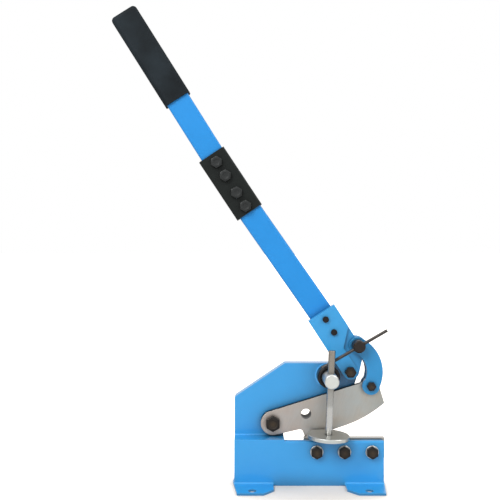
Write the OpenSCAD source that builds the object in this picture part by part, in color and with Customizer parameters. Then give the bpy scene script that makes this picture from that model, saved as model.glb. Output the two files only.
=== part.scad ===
// Bench lever shear with a two-piece lever and a hold-down.
// Millimetres. X runs along the blades, Y from the front to the back, Z up.
// The origin is the middle of the four foot holes, on the bench.

/* [Frame] */
// Width of the front wall
frame_w = 238; // [225:1:260]
// Height of the front wall
wall_h = 71; // [65:1:74]
// Thickness of the front wall
wall_t = 12; // [9:0.5:15]
// Distance of the wall's front face from the origin, towards the front
wall_front = 14; // [10:0.5:18]
// Radius of the wall's top edges
wall_edge_r = 3; // [1:0.5:4]
// Thickness of the rear plate
plate_t = 20; // [16:0.5:26]
// Height at which the rear plate's left edge starts to slope
shoulder_z = 135; // [120:1:150]
// Width of the slope on the rear plate's left side
slope_run = 82; // [60:1:95]
// Radius of the corners of the rear plate
plate_corner_r = 5; // [2:0.5:8]
// Radius of the rear plate's nose round the lever pivot
nose_r = 12.2; // [10.5:0.1:14]
// Height of the shelf that joins the rear plate to the wall
shelf_z = 73; // [71.5:0.5:73]
// Depth of the shelf block, from its top down
shelf_block_h = 44; // [30:1:55]
// Distance of the throat's end from the frame's left edge
throat_run = 79.7; // [75:0.5:82]
// Width of the step in the rear plate above the throat
throat_rise = 12; // [8:0.5:16]
// Height of that step
throat_top = 88; // [86:0.5:92]
// Distance of the rear plate's lower right corner below the lever pivot
nose_drop = 64; // [56:0.5:68]
// Distance of that corner to the left of the nose's right side
nose_cut = 18; // [12:0.5:22]
// Length of each foot lug, from its front end to its back end
lug_l = 118; // [112:1:130]
// Width of a foot lug at its middle
lug_w = 64.5; // [56:0.5:70]
// Thickness of a foot lug
lug_t = 3.5; // [3:0.5:9]
// Distance that a lug stands out past the wall's end
lug_flare = 2.5; // [1:0.5:5]
// Amount by which a lug narrows from its middle to its end
lug_taper = 7.5; // [3:0.5:10]
// Width of the cut corner of a lug
lug_cut_w = 16; // [8:1:20]
// Length of the cut corner of a lug
lug_cut_l = 18; // [8:1:22]
// Radius of the fillet between the lugs and the wall
lug_fillet = 2.5; // [1.5:0.5:9]
// Diameter of the foot holes
foot_hole_d = 13; // [9:0.5:15]
// Distance of the foot holes from the lugs' outer sides
foot_hole_in = 31; // [28:0.5:34]
// Distance of the foot holes from the lugs' ends
foot_hole_set = 12; // [11:0.5:14]

/* [Blades] */
// Thickness of both blades
blade_t = 10; // [8:0.5:12]
// Length of the lower blade
lower_blade_l = 129.5; // [122:0.5:134]
// Height of the lower blade
lower_blade_h = 32; // [30:0.5:36]
// Height of the lower blade's edge above the wall
blade_rise = 2.4; // [1:0.1:3]
// Distance of the lower blade's end past the wall's end
blade_overhang = 3; // [0:0.5:5]
// Distance of the lower blade's bolts below its edge
blade_bolt_drop = 19.6; // [18:0.1:21]
// Distance between the lower blade's bolts
blade_bolt_pitch = 44; // [38:0.5:50]
// Distance of the blade pivot from the frame's left edge
blade_pivot_in = 62; // [58:0.5:66]
// Height of the blade pivot
blade_pivot_z = 94.2; // [93.8:0.1:97]
// Radius of the upper blade's heel round its pivot
heel_r = 19.5; // [18:0.1:19.6]
// Angle of the upper blade's back when the lever is up
blade_slope = 17.3; // [17:0.1:19]
// Length of the upper blade from its pivot to its end
blade_l = 182.5; // [180:0.5:190]
// Distance of the upper blade's tip below its pivot line
tip_drop = 22.5; // [18:0.5:28]
// Distance of the hook's top from the pivot, along the blade
hook_run = 42.2; // [40:0.1:43]
// Distance of the hook's top below the pivot line
hook_drop = 22.7; // [21:0.1:25]
// Radius of the hook's corner
hook_r = 5; // [3:0.5:7]
// Distance of the start of the cutting edge from the pivot, along the blade
edge_run = 43.4; // [42.5:0.1:50]
// Distance of the start of the cutting edge below the pivot line
edge_drop = 40; // [39:0.1:44]
// Distance of the point where the edge starts to curve from the pivot, along the blade
edge_bend_run = 110; // [100:0.5:118]
// Distance of that point below the pivot line
edge_bend_drop = 38.4; // [37:0.1:39]
// Radius of the curved part of the cutting edge
edge_r = 195; // [150:1:400]
// Radius of the blade's ear round the link bolt
ear_r = 13; // [12:0.1:14]
// Diameter of the hole for cutting round bar
bar_hole_d = 16.5; // [10:0.5:18]
// Distance of the bar hole from the pivot, along the blade
bar_hole_run = 56; // [54:0.5:62]
// Distance of the bar hole below the pivot line
bar_hole_drop = 1.7; // [0:0.1:4]

/* [Lever] */
// Distance of the lever pivot from the frame's right edge
lever_pivot_in = 50.8; // [48:0.1:54]
// Height of the lever pivot
lever_pivot_z = 177.8; // [176:0.1:182]
// Angle by which the lever plate leans back
lever_lean = 33; // [31:0.5:35]
// Width of the lever plate
lever_w = 49.6; // [46:0.1:54]
// Thickness of the lever plate
lever_plate_t = 14; // [13:0.5:17]
// Distance of the lever plate's top edge from the lever pivot
lever_plate_l = 105.6; // [102:0.1:115]
// Radius of the raised boss at the lever pivot
lever_boss_r = 12; // [11:0.1:13]
// Radius of the lever plate's lower end
lever_end_r = 13.7; // [13:0.1:15]
// Radius of the lever plate round the upper link pivot
lever_ear_r = 14; // [13:0.1:15]
// Distance of the pocket's corner above the lever pivot, along the plate
pocket_rise = 39; // [37:0.5:44]
// Radius of the pocket's corner
pocket_r = 4; // [2:0.5:8]
// Angle of the pocket's upper side, measured across the plate
pocket_slope = 44; // [42:1:48]
// Thickness of the back strap
strap_t = 8; // [5:0.5:10]
// Half width of the back strap
strap_r = 11; // [10:0.1:12]
// Distance of the upper screw from the lever pivot, along the plate
screw_run = 93; // [90:0.5:96]
// Distance between the two screws
screw_pitch = 24.7; // [20:0.1:27]

/* [Link] */
// Distance from the lever pivot to the upper link pivot
crank_r = 45.1; // [44:0.1:46]
// Angle of that line above the horizontal
crank_angle = 75.7; // [74:0.1:77]
// Distance between the pivots of the link
link_pitch = 69.4; // [68:0.1:70.5]
// Angle of the link below the horizontal
link_fall = 71.6; // [70:0.1:73]
// Thickness of a link
link_t = 8; // [6:0.5:10]
// Width of a link at its middle
link_w = 25.7; // [20:0.1:27]
// Radius of the link's centre line
link_arc_r = 46.9; // [43:0.1:52]
// Radius of the link's upper end
link_top_r = 13.5; // [12.5:0.1:16.5]
// Radius of the link's lower end
link_low_r = 14.1; // [13.5:0.1:14.8]
// Half length of the slot in the blade for the link bolt
slot_reach = 6.4; // [6.2:0.1:6.6]
// Angle of that slot above the horizontal
slot_angle = 45; // [43:1:47]

/* [Lever tubes] */
// Width of the lever tubes
tube_w = 40; // [36:0.5:42]
// Wall thickness of the lever tubes
tube_wall = 2.5; // [1.5:0.1:3]
// Corner radius of the lever tubes
tube_corner_r = 3.5; // [3:0.1:5]
// Length of the lower tube below its upper screw
tube_tuck = 40; // [33:0.5:42]
// Angle by which the lower tube leans back
lower_lean = 34.9; // [33:0.1:36]
// Distance from the upper screw to the middle of the splice
lower_run = 269.7; // [200:0.5:300]
// Angle by which the upper tube leans back
upper_lean = 32.2; // [31:0.1:35]
// Distance from the middle of the splice to the grip's end
upper_run = 332.5; // [260:0.5:380]
// Gap between the ends of the two tubes inside the splice
tube_end_gap = 2; // [1:0.5:8]
// Length of the splice sleeve
splice_l = 113; // [104:1:130]
// Width of the splice sleeve
splice_w = 48; // [47:0.5:52]
// Wall thickness of the splice sleeve's flat sides
splice_side_t = 3; // [2:0.1:4]
// Distance of the inner splice bolts from the splice's middle
splice_bolt_run = 16.5; // [13:0.5:18]
// Distance between the two bolts of one tube
splice_bolt_pitch = 26.5; // [22:0.5:28]
// Distance by which all four sit below the splice's middle
splice_bolt_set = 1.9; // [0:0.1:3]
// Length of the grip
grip_l = 169.5; // [140:0.5:190]
// Wall thickness of the grip
grip_wall = 3.4; // [2:0.1:5]
// Corner radius of the grip
grip_corner_r = 7.5; // [5:0.1:9]
// Thickness of the grip's closed end
grip_end_t = 5; // [3:0.5:8]
// Radius of the rounding at the grip's end
grip_end_r = 6.5; // [2:0.5:7.5]

/* [Hold-down] */
// Distance of the hold-down arm from the frame's right edge
arm_in = 86; // [84:0.5:90]
// Height of the hold-down arm
arm_z = 170.3; // [169.5:0.1:172]
// Diameter of the hold-down arm
arm_d = 23; // [20:0.5:25]
// Length of the arm in front of its boss
arm_reach = 61; // [56:0.5:70]
// Radius of the boss on the frame
boss_r = 19; // [18:0.1:20]
// Height of the boss above the rear plate
boss_h = 2.5; // [1.5:0.5:4]
// Diameter of the arm's collar
collar_d = 36; // [33:0.5:38]
// Thickness of the collar
collar_t = 19; // [15:0.5:22]
// Diameter of the recess in the collar's front
collar_recess_d = 28; // [26:0.5:30]
// Depth of that recess
collar_recess_t = 4.5; // [2:0.5:8]
// Size of the chamfer at the arm's end and on the collar
arm_chamfer = 1.5; // [0.5:0.1:2]
// Distance of the rod from the arm's front end
rod_set = 18; // [15:0.5:20]
// Diameter of the hold-down rod
rod_d = 11; // [9:0.5:12]
// Angle by which the rod leans to the right
rod_lean = 2.4; // [0:0.1:4]
// Length of the rod above the arm's axis
rod_up = 47; // [35:1:60]
// Distance of the disc's underside below the arm's axis
disc_down = 91.5; // [88:0.5:92]
// Diameter of the pressure disc
disc_d = 66; // [50:1:67]
// Thickness of the pressure disc
disc_t = 6.4; // [4:0.1:9]
// Size of the chamfer on the disc
disc_chamfer = 0.8; // [0.3:0.1:1.5]
// Diameter of the rod's spigot in the disc
spigot_d = 7; // [5:0.5:8]
// Diameter of the arm's threaded stud at the back
arm_stud_d = 16; // [12:1:18]
// Diameter of the set screw in the arm
set_screw_d = 6; // [4:0.5:6]

/* [Clamp] */
// Diameter of the link pivot pin
link_pin_d = 12; // [10:0.5:14]
// Diameter of the pin's head
link_pin_head_d = 20; // [17:0.5:22]
// Diameter of the pin's threaded end
link_pin_thread_d = 10; // [8:0.5:10]
// Length of the pin's threaded end
link_pin_thread_l = 11; // [8:0.5:12]
// Diameter of the clamp knob
knob_d = 19.6; // [17:0.1:23]
// Length of the clamp knob
knob_l = 20.5; // [19.5:0.1:28]
// Distance of the tommy bar in front of the link
tommy_set = 15; // [14.5:0.1:16.5]
// Diameter of the tommy bar
tommy_d = 5; // [3:0.5:6]
// Length of the tommy bar
tommy_l = 120; // [100:1:140]
// Angle of the tommy bar above the horizontal
tommy_angle = 30; // [20:1:40]
// Distance that the tommy bar has slid to the left
tommy_slip = 8.5; // [0:0.5:15]

/* [Fasteners] */
// Diameter of the blade pivot bolt
blade_pivot_d = 14; // [12:0.5:16]
// Width across flats of its head and nut
blade_pivot_af = 21.4; // [19:0.1:22]
// Diameter of the lever pivot bolt
lever_pivot_d = 10; // [8:0.5:12]
// Width across flats of its head and nut
lever_pivot_af = 16; // [15:0.1:19]
// Diameter of the lower blade's bolts and of the splice bolts
bolt_d = 10; // [8:0.5:10]
// Width across flats of their heads and nuts
bolt_af = 17; // [15:0.1:18]
// Diameter of the link bolt
link_bolt_d = 8; // [6:0.5:8]
// Width across flats of its head and nut
link_bolt_af = 13; // [11:0.1:14]
// Diameter of the lever plate's screws
screw_d = 6; // [4:0.5:6]
// Diameter of their heads
screw_head_d = 10; // [8:0.1:11]
// Outer diameter of the lower blade's washers
washer_d = 21; // [19:0.5:22]
// Thickness of the washers
washer_t = 2; // [1:0.1:3]

/* [Hidden] */
$fn = 64;

// Clearances: running fits of pins, flat faces that slide, fixed fits, the shear gap
run_fit = 0.05;
face_gap = 0.2;
side_gap = 0.3;
fixed_fit = 0.02;
shear_gap = 0.2;
// One overrun for all cuts
over = 1;
// Distance by which a straight edge runs inside the circle that it joins
tangent_inset = 0.02;
// Shares of a bolt's diameter: height of its head, height of its nut, chamfer of its corners
head_share = 0.64;
nut_share = 0.8;
hex_chamfer_share = 0.06;
thread_end_share = 0.2;
// Points on each rounded corner and on the long arcs
corner_steps = 6;
edge_steps = 24;

// Depth of each layer, from the front wall to the back strap
wall_y = -wall_front;
lower_blade_y = wall_y + wall_t;
shear_y = lower_blade_y + blade_t;
upper_blade_y = shear_y + shear_gap;
swing_back_y = upper_blade_y + blade_t;
plate_y = swing_back_y + side_gap;
plate_back_y = plate_y + plate_t;
lever_plate_y = swing_back_y - lever_plate_t;
front_link_y = upper_blade_y - face_gap - link_t;
rear_link_y = swing_back_y + side_gap;
rear_link_back_y = rear_link_y + link_t;
tube_h = plate_t + 2 * side_gap;
strap_y = swing_back_y + tube_h;
strap_back_y = strap_y + strap_t;
boss_y = plate_y - boss_h;

// Main points of the frame, as [x, z]
frame_left = -frame_w / 2;
frame_right = frame_w / 2;
throat_x = frame_left + throat_run;
blade_top_z = wall_h + blade_rise;
blade_pivot = [frame_left + blade_pivot_in, blade_pivot_z];
lever_pivot = [frame_right - lever_pivot_in, lever_pivot_z];
arm_axis = [frame_right - arm_in, arm_z];
plate_top = lever_pivot_z + nose_r;
foot_hole_x = frame_right + lug_flare - foot_hole_in;
foot_hole_y = lug_l / 2 - foot_hole_set;
foot_holes = [for (sx = [-1, 1], sy = [-1, 1]) [sx * foot_hole_x, sy * foot_hole_y]];
lower_blade_x = frame_right + blade_overhang - lower_blade_l;

// Main points of the linkage and the lever, as [x, z]
link_top = lever_pivot + crank_r * dir(crank_angle);
link_low = link_top + link_pitch * dir(-link_fall);
link_mid = (link_top + link_low) / 2;
link_bow = sqrt(link_arc_r * link_arc_r - link_pitch * link_pitch / 4);
link_centre = link_mid + link_bow * dir(-link_fall - 90);
lever_axis_u = lever_w / 2 - lever_boss_r;
upper_screw = lever_pivot + turned([lever_axis_u, screw_run], lever_lean);
lower_screw = lever_pivot + turned([lever_axis_u, screw_run - screw_pitch], lever_lean);
splice_mid = upper_screw + lower_run * dir(90 + lower_lean);
splice_lean = (lower_lean + upper_lean) / 2;
grip_end = splice_mid + upper_run * dir(90 + upper_lean);
splice_slack = (splice_l / 2) * sin(abs(lower_lean - upper_lean) / 2) + fixed_fit;
splice_bolt_runs = [for (side = [-1, 1], k = [0, 1])
    side * (splice_bolt_run + k * splice_bolt_pitch) - splice_bolt_set];
bar_hole = blade_pivot + turned([bar_hole_run, -bar_hole_drop], blade_slope);
blade_bolt_x = frame_right + blade_overhang - lower_blade_l / 2 - blade_rise / 2;
blade_bolt_z = blade_top_z - blade_bolt_drop;
blade_bolts = [for (k = [-1, 0, 1]) [blade_bolt_x + k * blade_bolt_pitch, blade_bolt_z]];

// Unit vector at angle a
function dir(a) = [cos(a), sin(a)];
// Point p turned about the origin by angle a
function turned(p, a) = [p[0] * cos(a) - p[1] * sin(a), p[0] * sin(a) + p[1] * cos(a)];
// Unit vector from a to b
function unit(a, b) = (b - a) / norm(b - a);
// Angle of the line from a to b
function heading(a, b) = atan2(b[1] - a[1], b[0] - a[0]);
// Angle t brought into -180 to 180
function wrapped(t) = t > 180 ? t - 360 : t < -180 ? t + 360 : t;

// Corner b between a and c as an arc of radius r
function corner(a, b, c, r) =
    let (u = unit(b, a), v = unit(b, c), half = acos(u * v) / 2)
    let (mid = b + (u + v) / norm(u + v) * r / sin(half))
    let (from = heading(mid, b + u * r / tan(half)), to = heading(mid, b + v * r / tan(half)))
    [for (i = [0:corner_steps]) mid + r * dir(from + wrapped(to - from) * i / corner_steps)];

// Closed outline whose corner i has radius radii[i]
function rounded(points, radii) =
    let (n = len(points))
    [for (i = [0:n - 1]) each radii[i] > 0
        ? corner(points[(i + n - 1) % n], points[i], points[(i + 1) % n], radii[i])
        : [points[i]]];

// Arc of radius r from p to q that bulges to the right of that direction
function bulge(p, q, r) =
    let (reach = norm(q - p), h = sqrt(r * r - reach * reach / 4))
    let (mid = (p + q) / 2 + h * dir(heading(p, q) + 90))
    let (from = heading(mid, p), to = heading(mid, q))
    [for (i = [0:edge_steps]) mid + r * dir(from + wrapped(to - from) * i / edge_steps)];

// The four points where the outer tangents touch circle r at p and circle s at q
function tangents(p, r, q, s) =
    let (a = heading(p, q), b = acos((r - s) / norm(q - p)))
    [p + r * dir(a - b), q + s * dir(a - b), q + s * dir(a + b), p + r * dir(a + b)];

// Flat shape in X and Z, from depth y backwards by thickness t
module slab(y, t) {
    translate([0, y + t, 0]) rotate([90, 0, 0]) linear_extrude(height = t) children();
}

// Cylinder along Y at point p, from depth y0 to y1
module rod_y(p, y0, y1, r) {
    translate([p[0], y1, p[1]]) rotate([90, 0, 0]) cylinder(h = y1 - y0, r = r);
}

// Cylinder along Y whose front edge is chamfered
module rod_y_chamfered(p, y0, y1, r, c) {
    translate([p[0], y1, p[1]]) rotate([90, 0, 0]) {
        cylinder(h = y1 - y0 - c, r = r);
        translate([0, 0, y1 - y0 - c]) cylinder(h = c, r1 = r, r2 = r - c);
    }
}

// Hexagon along Y from depth y0 to y1, chamfered on the side away from its seat
module hex_y(p, y0, y1, af, spin, front) {
    h = y1 - y0;
    c = af * hex_chamfer_share;
    r = af / sqrt(3);
    translate([p[0], front ? y1 : y0, p[1]]) rotate([front ? 90 : -90, 0, 0])
        intersection() {
            rotate([0, 0, spin]) cylinder(h = h, r = r, $fn = 6);
            union() {
                cylinder(h = h - c, r = r + over);
                translate([0, 0, h - c]) cylinder(h = c, r1 = r + c / 2, r2 = af / 2);
            }
        }
}

// Hex bolt at p: its head's seat at depth y, its end at depth y_end
module hex_bolt(p, y, y_end, d, af, spin) {
    hex_y(p, y - d * head_share, y, af, spin, true);
    rod_y(p, y, y_end, d / 2);
}

// Hex nut at p with its seat at depth y
module hex_nut(p, y, d, af, spin) {
    difference() {
        hex_y(p, y, y + d * nut_share, af, spin, false);
        rod_y(p, y - over, y + d + over, d / 2);
    }
}

// Flat bar in X and Z with round ends of radius r at p and s at q
module bar(p, r, q, s) {
    translate(p) circle(r = r);
    translate(q) circle(r = s);
    polygon(tangents(p, r - tangent_inset, q, s - tangent_inset));
}

// Rectangle w by h with corners of radius r, middle at the origin
module rounded_rect(w, h, r) {
    square([w - 2 * r, h], center = true);
    square([w, h - 2 * r], center = true);
    for (sx = [-1, 1], sy = [-1, 1])
        translate([sx * (w / 2 - r), sy * (h / 2 - r)]) circle(r = r);
}

// Places a child drawn along +Z at point p, leaning back by angle a, in the tubes' depth
module on_lever(p, a) {
    translate([p[0], swing_back_y + tube_h / 2, p[1]]) rotate([0, -a, 0]) children();
}

// Places a flat child in the lever plate's own axes
module in_lever_plate() {
    translate(lever_pivot) rotate(lever_lean) children();
}

// Outline of the rear plate, with its rise behind the upper blade
module rear_plate_outline() {
    low_z = shelf_z - shelf_block_h;
    nose = lever_pivot + [nose_r - tangent_inset, 0];
    r = plate_corner_r;
    translate(lever_pivot) circle(r = nose_r);
    translate(bar_hole) circle(r = bar_hole_d / 2 + plate_corner_r);
    polygon(rounded(
        [[frame_left, low_z], [throat_x, low_z], [throat_x, shelf_z + r], [throat_x + throat_rise, throat_top],
         nose - [nose_cut, nose_drop], nose - [0, nose_r], nose,
         [lever_pivot[0], plate_top - tangent_inset], [frame_left + slope_run, plate_top],
         [frame_left, shoulder_z]],
        [0, 0, r, r, r, 0, 0, 0, r, r]));
}

// Front half of a foot lug on the right side, from its middle to its front end
module lug_outline() {
    outer = frame_right + lug_flare;
    inner = outer - lug_w;
    polygon([[inner, 0], [inner, -lug_l / 2 + lug_cut_l], [inner + lug_cut_w, -lug_l / 2],
        [outer - lug_taper, -lug_l / 2], [outer, 0]]);
}

// Painted casting: rear plate, shelf block, front wall, foot lugs and hold-down boss
module frame_casting() color("steelblue") {
    block_l = plate_back_y - wall_y;
    difference() {
        union() {
            slab(plate_y, plate_t) rear_plate_outline();
            difference() {
                slab(wall_y, block_l)
                    translate([frame_left, shelf_z - shelf_block_h]) square([throat_run, shelf_block_h]);
                lower_blade_room();
            }
            translate([frame_left, wall_y, 0]) cube([frame_w, wall_t, wall_h - wall_edge_r]);
            translate([frame_left, wall_y + wall_edge_r, 0])
                cube([frame_w, wall_t - 2 * wall_edge_r, wall_h]);
            for (y = [wall_y + wall_edge_r, wall_y + wall_t - wall_edge_r])
                translate([frame_left, y, wall_h - wall_edge_r])
                    rotate([0, 90, 0]) cylinder(h = frame_w, r = wall_edge_r);
            for (mx = [0, 1], my = [0, 1])
                mirror([mx, 0, 0]) mirror([0, my, 0]) linear_extrude(height = lug_t) lug_outline();
            lug_fillets();
            rod_y(arm_axis, boss_y, plate_y + over, boss_r);
        }
        for (p = foot_holes)
            translate([p[0], p[1], -over]) cylinder(h = lug_t + 2 * over, d = foot_hole_d);
        for (p = blade_bolts) rod_y(p, wall_y - over, lower_blade_y + over, bolt_d / 2 + run_fit);
        rod_y(blade_pivot, plate_y - over, plate_back_y + over, blade_pivot_d / 2 + run_fit);
        rod_y(lever_pivot, plate_y - over, plate_back_y + over, lever_pivot_d / 2 + run_fit);
        rod_y(arm_axis, boss_y - over, plate_back_y + over, arm_d / 2 + run_fit);
        rod_y(bar_hole, plate_y - over, plate_back_y + over, bar_hole_d / 2);
    }
}

// Room that the shelf block leaves for the lower blade
module lower_blade_room()
    translate([lower_blade_x - side_gap, lower_blade_y, blade_top_z - lower_blade_h - side_gap])
        cube([lower_blade_l, blade_t + shear_gap, lower_blade_h + side_gap + over]);

// Fillets where the lugs meet the front and the back of the wall
module lug_fillets() {
    fillet_l = lug_w - lug_flare;
    for (mx = [0, 1], side = [[wall_y, -1], [wall_y + wall_t, 1]])
        mirror([mx, 0, 0])
            translate([frame_right - fillet_l, side[0], lug_t]) rotate([90, 0, 90])
                linear_extrude(height = fillet_l) mirror([side[1] < 0 ? 1 : 0, 0]) difference() {
                    translate([-over, -over]) square(lug_fillet + over);
                    translate([lug_fillet, lug_fillet]) circle(r = lug_fillet);
                }
}

// Fixed blade, a flat bar with three tapped holes
module lower_blade() color("silver") difference() {
    translate([lower_blade_x, lower_blade_y, blade_top_z - lower_blade_h])
        cube([lower_blade_l, blade_t, lower_blade_h]);
    for (p = blade_bolts) rod_y(p, lower_blade_y - over, shear_y + over, bolt_d / 2);
}

// Three hex bolts through the wall into the lower blade
module lower_blade_bolts() color("dimgray")
    for (p = blade_bolts)
        hex_bolt(p, wall_y - washer_t, shear_y - bolt_d * thread_end_share, bolt_d, bolt_af, 30);

// Washers under the heads of those bolts
module lower_blade_washers() color("gainsboro")
    for (p = blade_bolts) difference() {
        rod_y(p, wall_y - washer_t, wall_y, washer_d / 2);
        rod_y(p, wall_y - washer_t - over, wall_y + over, bolt_d / 2 + fixed_fit);
    }

// Bolt on which the upper blade swings
module blade_pivot_bolt() color("dimgray")
    hex_bolt(blade_pivot, upper_blade_y - face_gap,
        plate_back_y + washer_t + blade_pivot_d * (nut_share + thread_end_share),
        blade_pivot_d, blade_pivot_af, 30);

module blade_pivot_washer() color("gainsboro") difference() {
    rod_y(blade_pivot, plate_back_y, plate_back_y + washer_t, blade_pivot_d);
    rod_y(blade_pivot, plate_back_y - over, plate_back_y + washer_t + over, blade_pivot_d / 2 + fixed_fit);
}

module blade_pivot_nut() color("dimgray")
    hex_nut(blade_pivot, plate_back_y + washer_t, blade_pivot_d, blade_pivot_af, 0);

// Bolt on which the lever swings
module lever_pivot_bolt() color("dimgray")
    hex_bolt(lever_pivot, lever_plate_y - face_gap,
        strap_back_y + face_gap + lever_pivot_d * (nut_share + thread_end_share),
        lever_pivot_d, lever_pivot_af, 0);

module lever_pivot_nut() color("dimgray")
    hex_nut(lever_pivot, strap_back_y + face_gap, lever_pivot_d, lever_pivot_af, 0);

// Outline of the moving blade in its own axes, pivot at the origin
module upper_blade_outline() {
    tip = [blade_l, -tip_drop];
    edge_start = [edge_run, -edge_drop];
    edge_bend = [edge_bend_run, -edge_bend_drop];
    hook = [hook_run, -hook_drop];
    heel = heel_r - tangent_inset;
    circle(r = heel_r);
    polygon(concat([[0, -heel]], corner([0, -heel], hook, edge_start, hook_r), [edge_start],
        bulge(edge_bend, tip, edge_r), [[blade_l, heel], [0, heel]]));
}

// Moving blade: its outline, the arm and ear that carry the link bolt, and the bores
module upper_blade() color("silver") difference() {
    slab(upper_blade_y, blade_t) {
        translate(blade_pivot) rotate(blade_slope) upper_blade_outline();
        translate(link_low) circle(r = ear_r);
        bar(blade_pivot, ear_r / 2, link_low, ear_r / 2);
    }
    rod_y(blade_pivot, upper_blade_y - over, swing_back_y + over, blade_pivot_d / 2 + run_fit);
    rod_y(bar_hole, upper_blade_y - over, swing_back_y + over, bar_hole_d / 2);
    slab(upper_blade_y - over, blade_t + 2 * over) link_bolt_slot();
}

// Slot that lets the link bolt shift in the blade as the lever swings
module link_bolt_slot() {
    slot_r = link_bolt_d / 2 + 3 * side_gap;
    bar(link_low - slot_reach * dir(slot_angle), slot_r, link_low + slot_reach * dir(slot_angle), slot_r);
}

// Full outline of the lever plate in its own axes, pivot at the origin
module lever_plate_outline() {
    left = -lever_boss_r;
    pin = crank_r * dir(crank_angle - lever_lean);
    low = [left + lever_end_r - tangent_inset, 0];
    translate([left, pin[1]]) square([lever_w, lever_plate_l - pin[1]]);
    bar(pin, lever_ear_r, low, lever_end_r);
    polygon([[left, 0], low, pin, [left, pin[1]]]);
}

// Area of the pocket in the lever plate's front, in the same axes
module lever_pocket_outline() {
    side = lever_boss_r - tangent_inset;
    far = lever_w + over;
    polygon(rounded(
        [[-far, -far], [side + far, -far], [side + far, pocket_rise + far * tan(pocket_slope)],
         [side, pocket_rise], [side, 0], [-far, 0]],
        [0, 0, 0, pocket_r, 0, 0]));
}

// Lever plate: full thickness with the pocket where the front link turns
module lever_plate() color("dodgerblue") {
    pocket_h = lever_plate_t - blade_t;
    difference() {
        slab(lever_plate_y, lever_plate_t) in_lever_plate() lever_plate_outline();
        slab(lever_plate_y - over, pocket_h + over) difference() {
            in_lever_plate() lever_pocket_outline();
            translate(lever_pivot) circle(r = lever_boss_r);
        }
        rod_y(lever_pivot, lever_plate_y - over, swing_back_y + over, lever_pivot_d / 2 + run_fit);
        rod_y(link_top, lever_plate_y - over, swing_back_y + over, link_pin_d / 2 + fixed_fit);
        for (p = [upper_screw, lower_screw])
            rod_y(p, lever_plate_y - over, swing_back_y + over, screw_d / 2 + fixed_fit);
    }
}

// Strap behind the frame plate that carries the other end of the lever pivot bolt
module lever_back_strap() color("dodgerblue") difference() {
    slab(strap_y, strap_t) bar(lever_pivot, strap_r, upper_screw, strap_r);
    rod_y(lever_pivot, strap_y - over, strap_back_y + over, lever_pivot_d / 2 + run_fit);
    for (p = [upper_screw, lower_screw]) rod_y(p, strap_y - over, strap_back_y + over, screw_d / 2);
}

// Two cap screws through plate, tube and strap
module lever_screws() color("dimgray")
    for (p = [upper_screw, lower_screw]) {
        rod_y(p, lever_plate_y - screw_d * head_share, lever_plate_y, screw_head_d / 2);
        rod_y(p, lever_plate_y, strap_back_y, screw_d / 2);
    }

// Rectangular tube along +Z, from z0 to z1
module lever_tube(z0, z1) {
    translate([0, 0, z0]) linear_extrude(height = z1 - z0) difference() {
        rounded_rect(tube_w, tube_h, tube_corner_r);
        rounded_rect(tube_w - 2 * tube_wall, tube_h - 2 * tube_wall, tube_corner_r - tube_wall);
    }
}

// Holes across the tubes for the splice bolts
module splice_holes(r) {
    for (k = splice_bolt_runs)
        rod_y(splice_mid + k * dir(90 + splice_lean), lever_plate_y - over, strap_back_y + over, r);
}

module lower_tube() color("dodgerblue") difference() {
    on_lever(upper_screw, lower_lean) lever_tube(-tube_tuck, lower_run - tube_end_gap / 2);
    for (p = [upper_screw, lower_screw])
        rod_y(p, swing_back_y - over, strap_y + over, screw_d / 2 + fixed_fit);
    splice_holes(bolt_d / 2 + fixed_fit);
}

module upper_tube() color("dodgerblue") difference() {
    on_lever(splice_mid, upper_lean) lever_tube(tube_end_gap / 2, upper_run - grip_end_t);
    splice_holes(bolt_d / 2 + fixed_fit);
}

// Black sleeve over the joint of the two tubes
module splice_sleeve() color([0.15, 0.17, 0.18]) difference() {
    on_lever(splice_mid, splice_lean) translate([0, 0, -splice_l / 2])
        linear_extrude(height = splice_l) difference() {
            rounded_rect(splice_w, tube_h + 2 * splice_side_t, tube_corner_r);
            square([tube_w + 2 * splice_slack, tube_h], center = true);
        }
    splice_holes(bolt_d / 2 + fixed_fit);
}

// Four hex bolts through the sleeve and the tubes
module splice_bolts() color("dimgray")
    for (k = splice_bolt_runs)
        hex_bolt(splice_mid + k * dir(90 + splice_lean), swing_back_y - splice_side_t,
            strap_y + splice_side_t + bolt_d * (nut_share + thread_end_share), bolt_d, bolt_af, 30);

module splice_nuts() color("dimgray")
    for (k = splice_bolt_runs)
        hex_nut(splice_mid + k * dir(90 + splice_lean), strap_y + splice_side_t, bolt_d, bolt_af, 0);

// Rubber grip, closed at its end
module handle_grip() color([0.18, 0.2, 0.21]) {
    w = tube_w + 2 * grip_wall;
    h = tube_h + 2 * grip_wall;
    on_lever(grip_end, upper_lean) difference() {
        union() {
            translate([0, 0, -grip_l]) linear_extrude(height = grip_l - grip_end_r)
                rounded_rect(w, h, grip_corner_r);
            hull() for (sx = [-1, 1], sy = [-1, 1], k = [0:corner_steps])
                translate([sx * (w / 2 - grip_corner_r), sy * (h / 2 - grip_corner_r), -grip_end_r])
                    cylinder(h = grip_end_r * sin(90 * k / corner_steps) + fixed_fit,
                        r = max(tangent_inset, grip_corner_r - grip_end_r * (1 - cos(90 * k / corner_steps))),
                        $fn = 32);
        }
        translate([0, 0, -grip_l - over]) linear_extrude(height = grip_l - grip_end_t + over)
            rounded_rect(tube_w, tube_h, tube_corner_r);
    }
}

// Pin of the upper link pivot, headed behind the rear link, threaded in front
module link_pivot_pin() color("dimgray") {
    rod_y(link_top, rear_link_back_y + face_gap, rear_link_back_y + face_gap + link_pin_d * head_share,
        link_pin_head_d / 2);
    rod_y(link_top, front_link_y, rear_link_back_y + face_gap, link_pin_d / 2);
    rod_y(link_top, front_link_y - link_pin_thread_l, front_link_y, link_pin_thread_d / 2);
}

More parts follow.
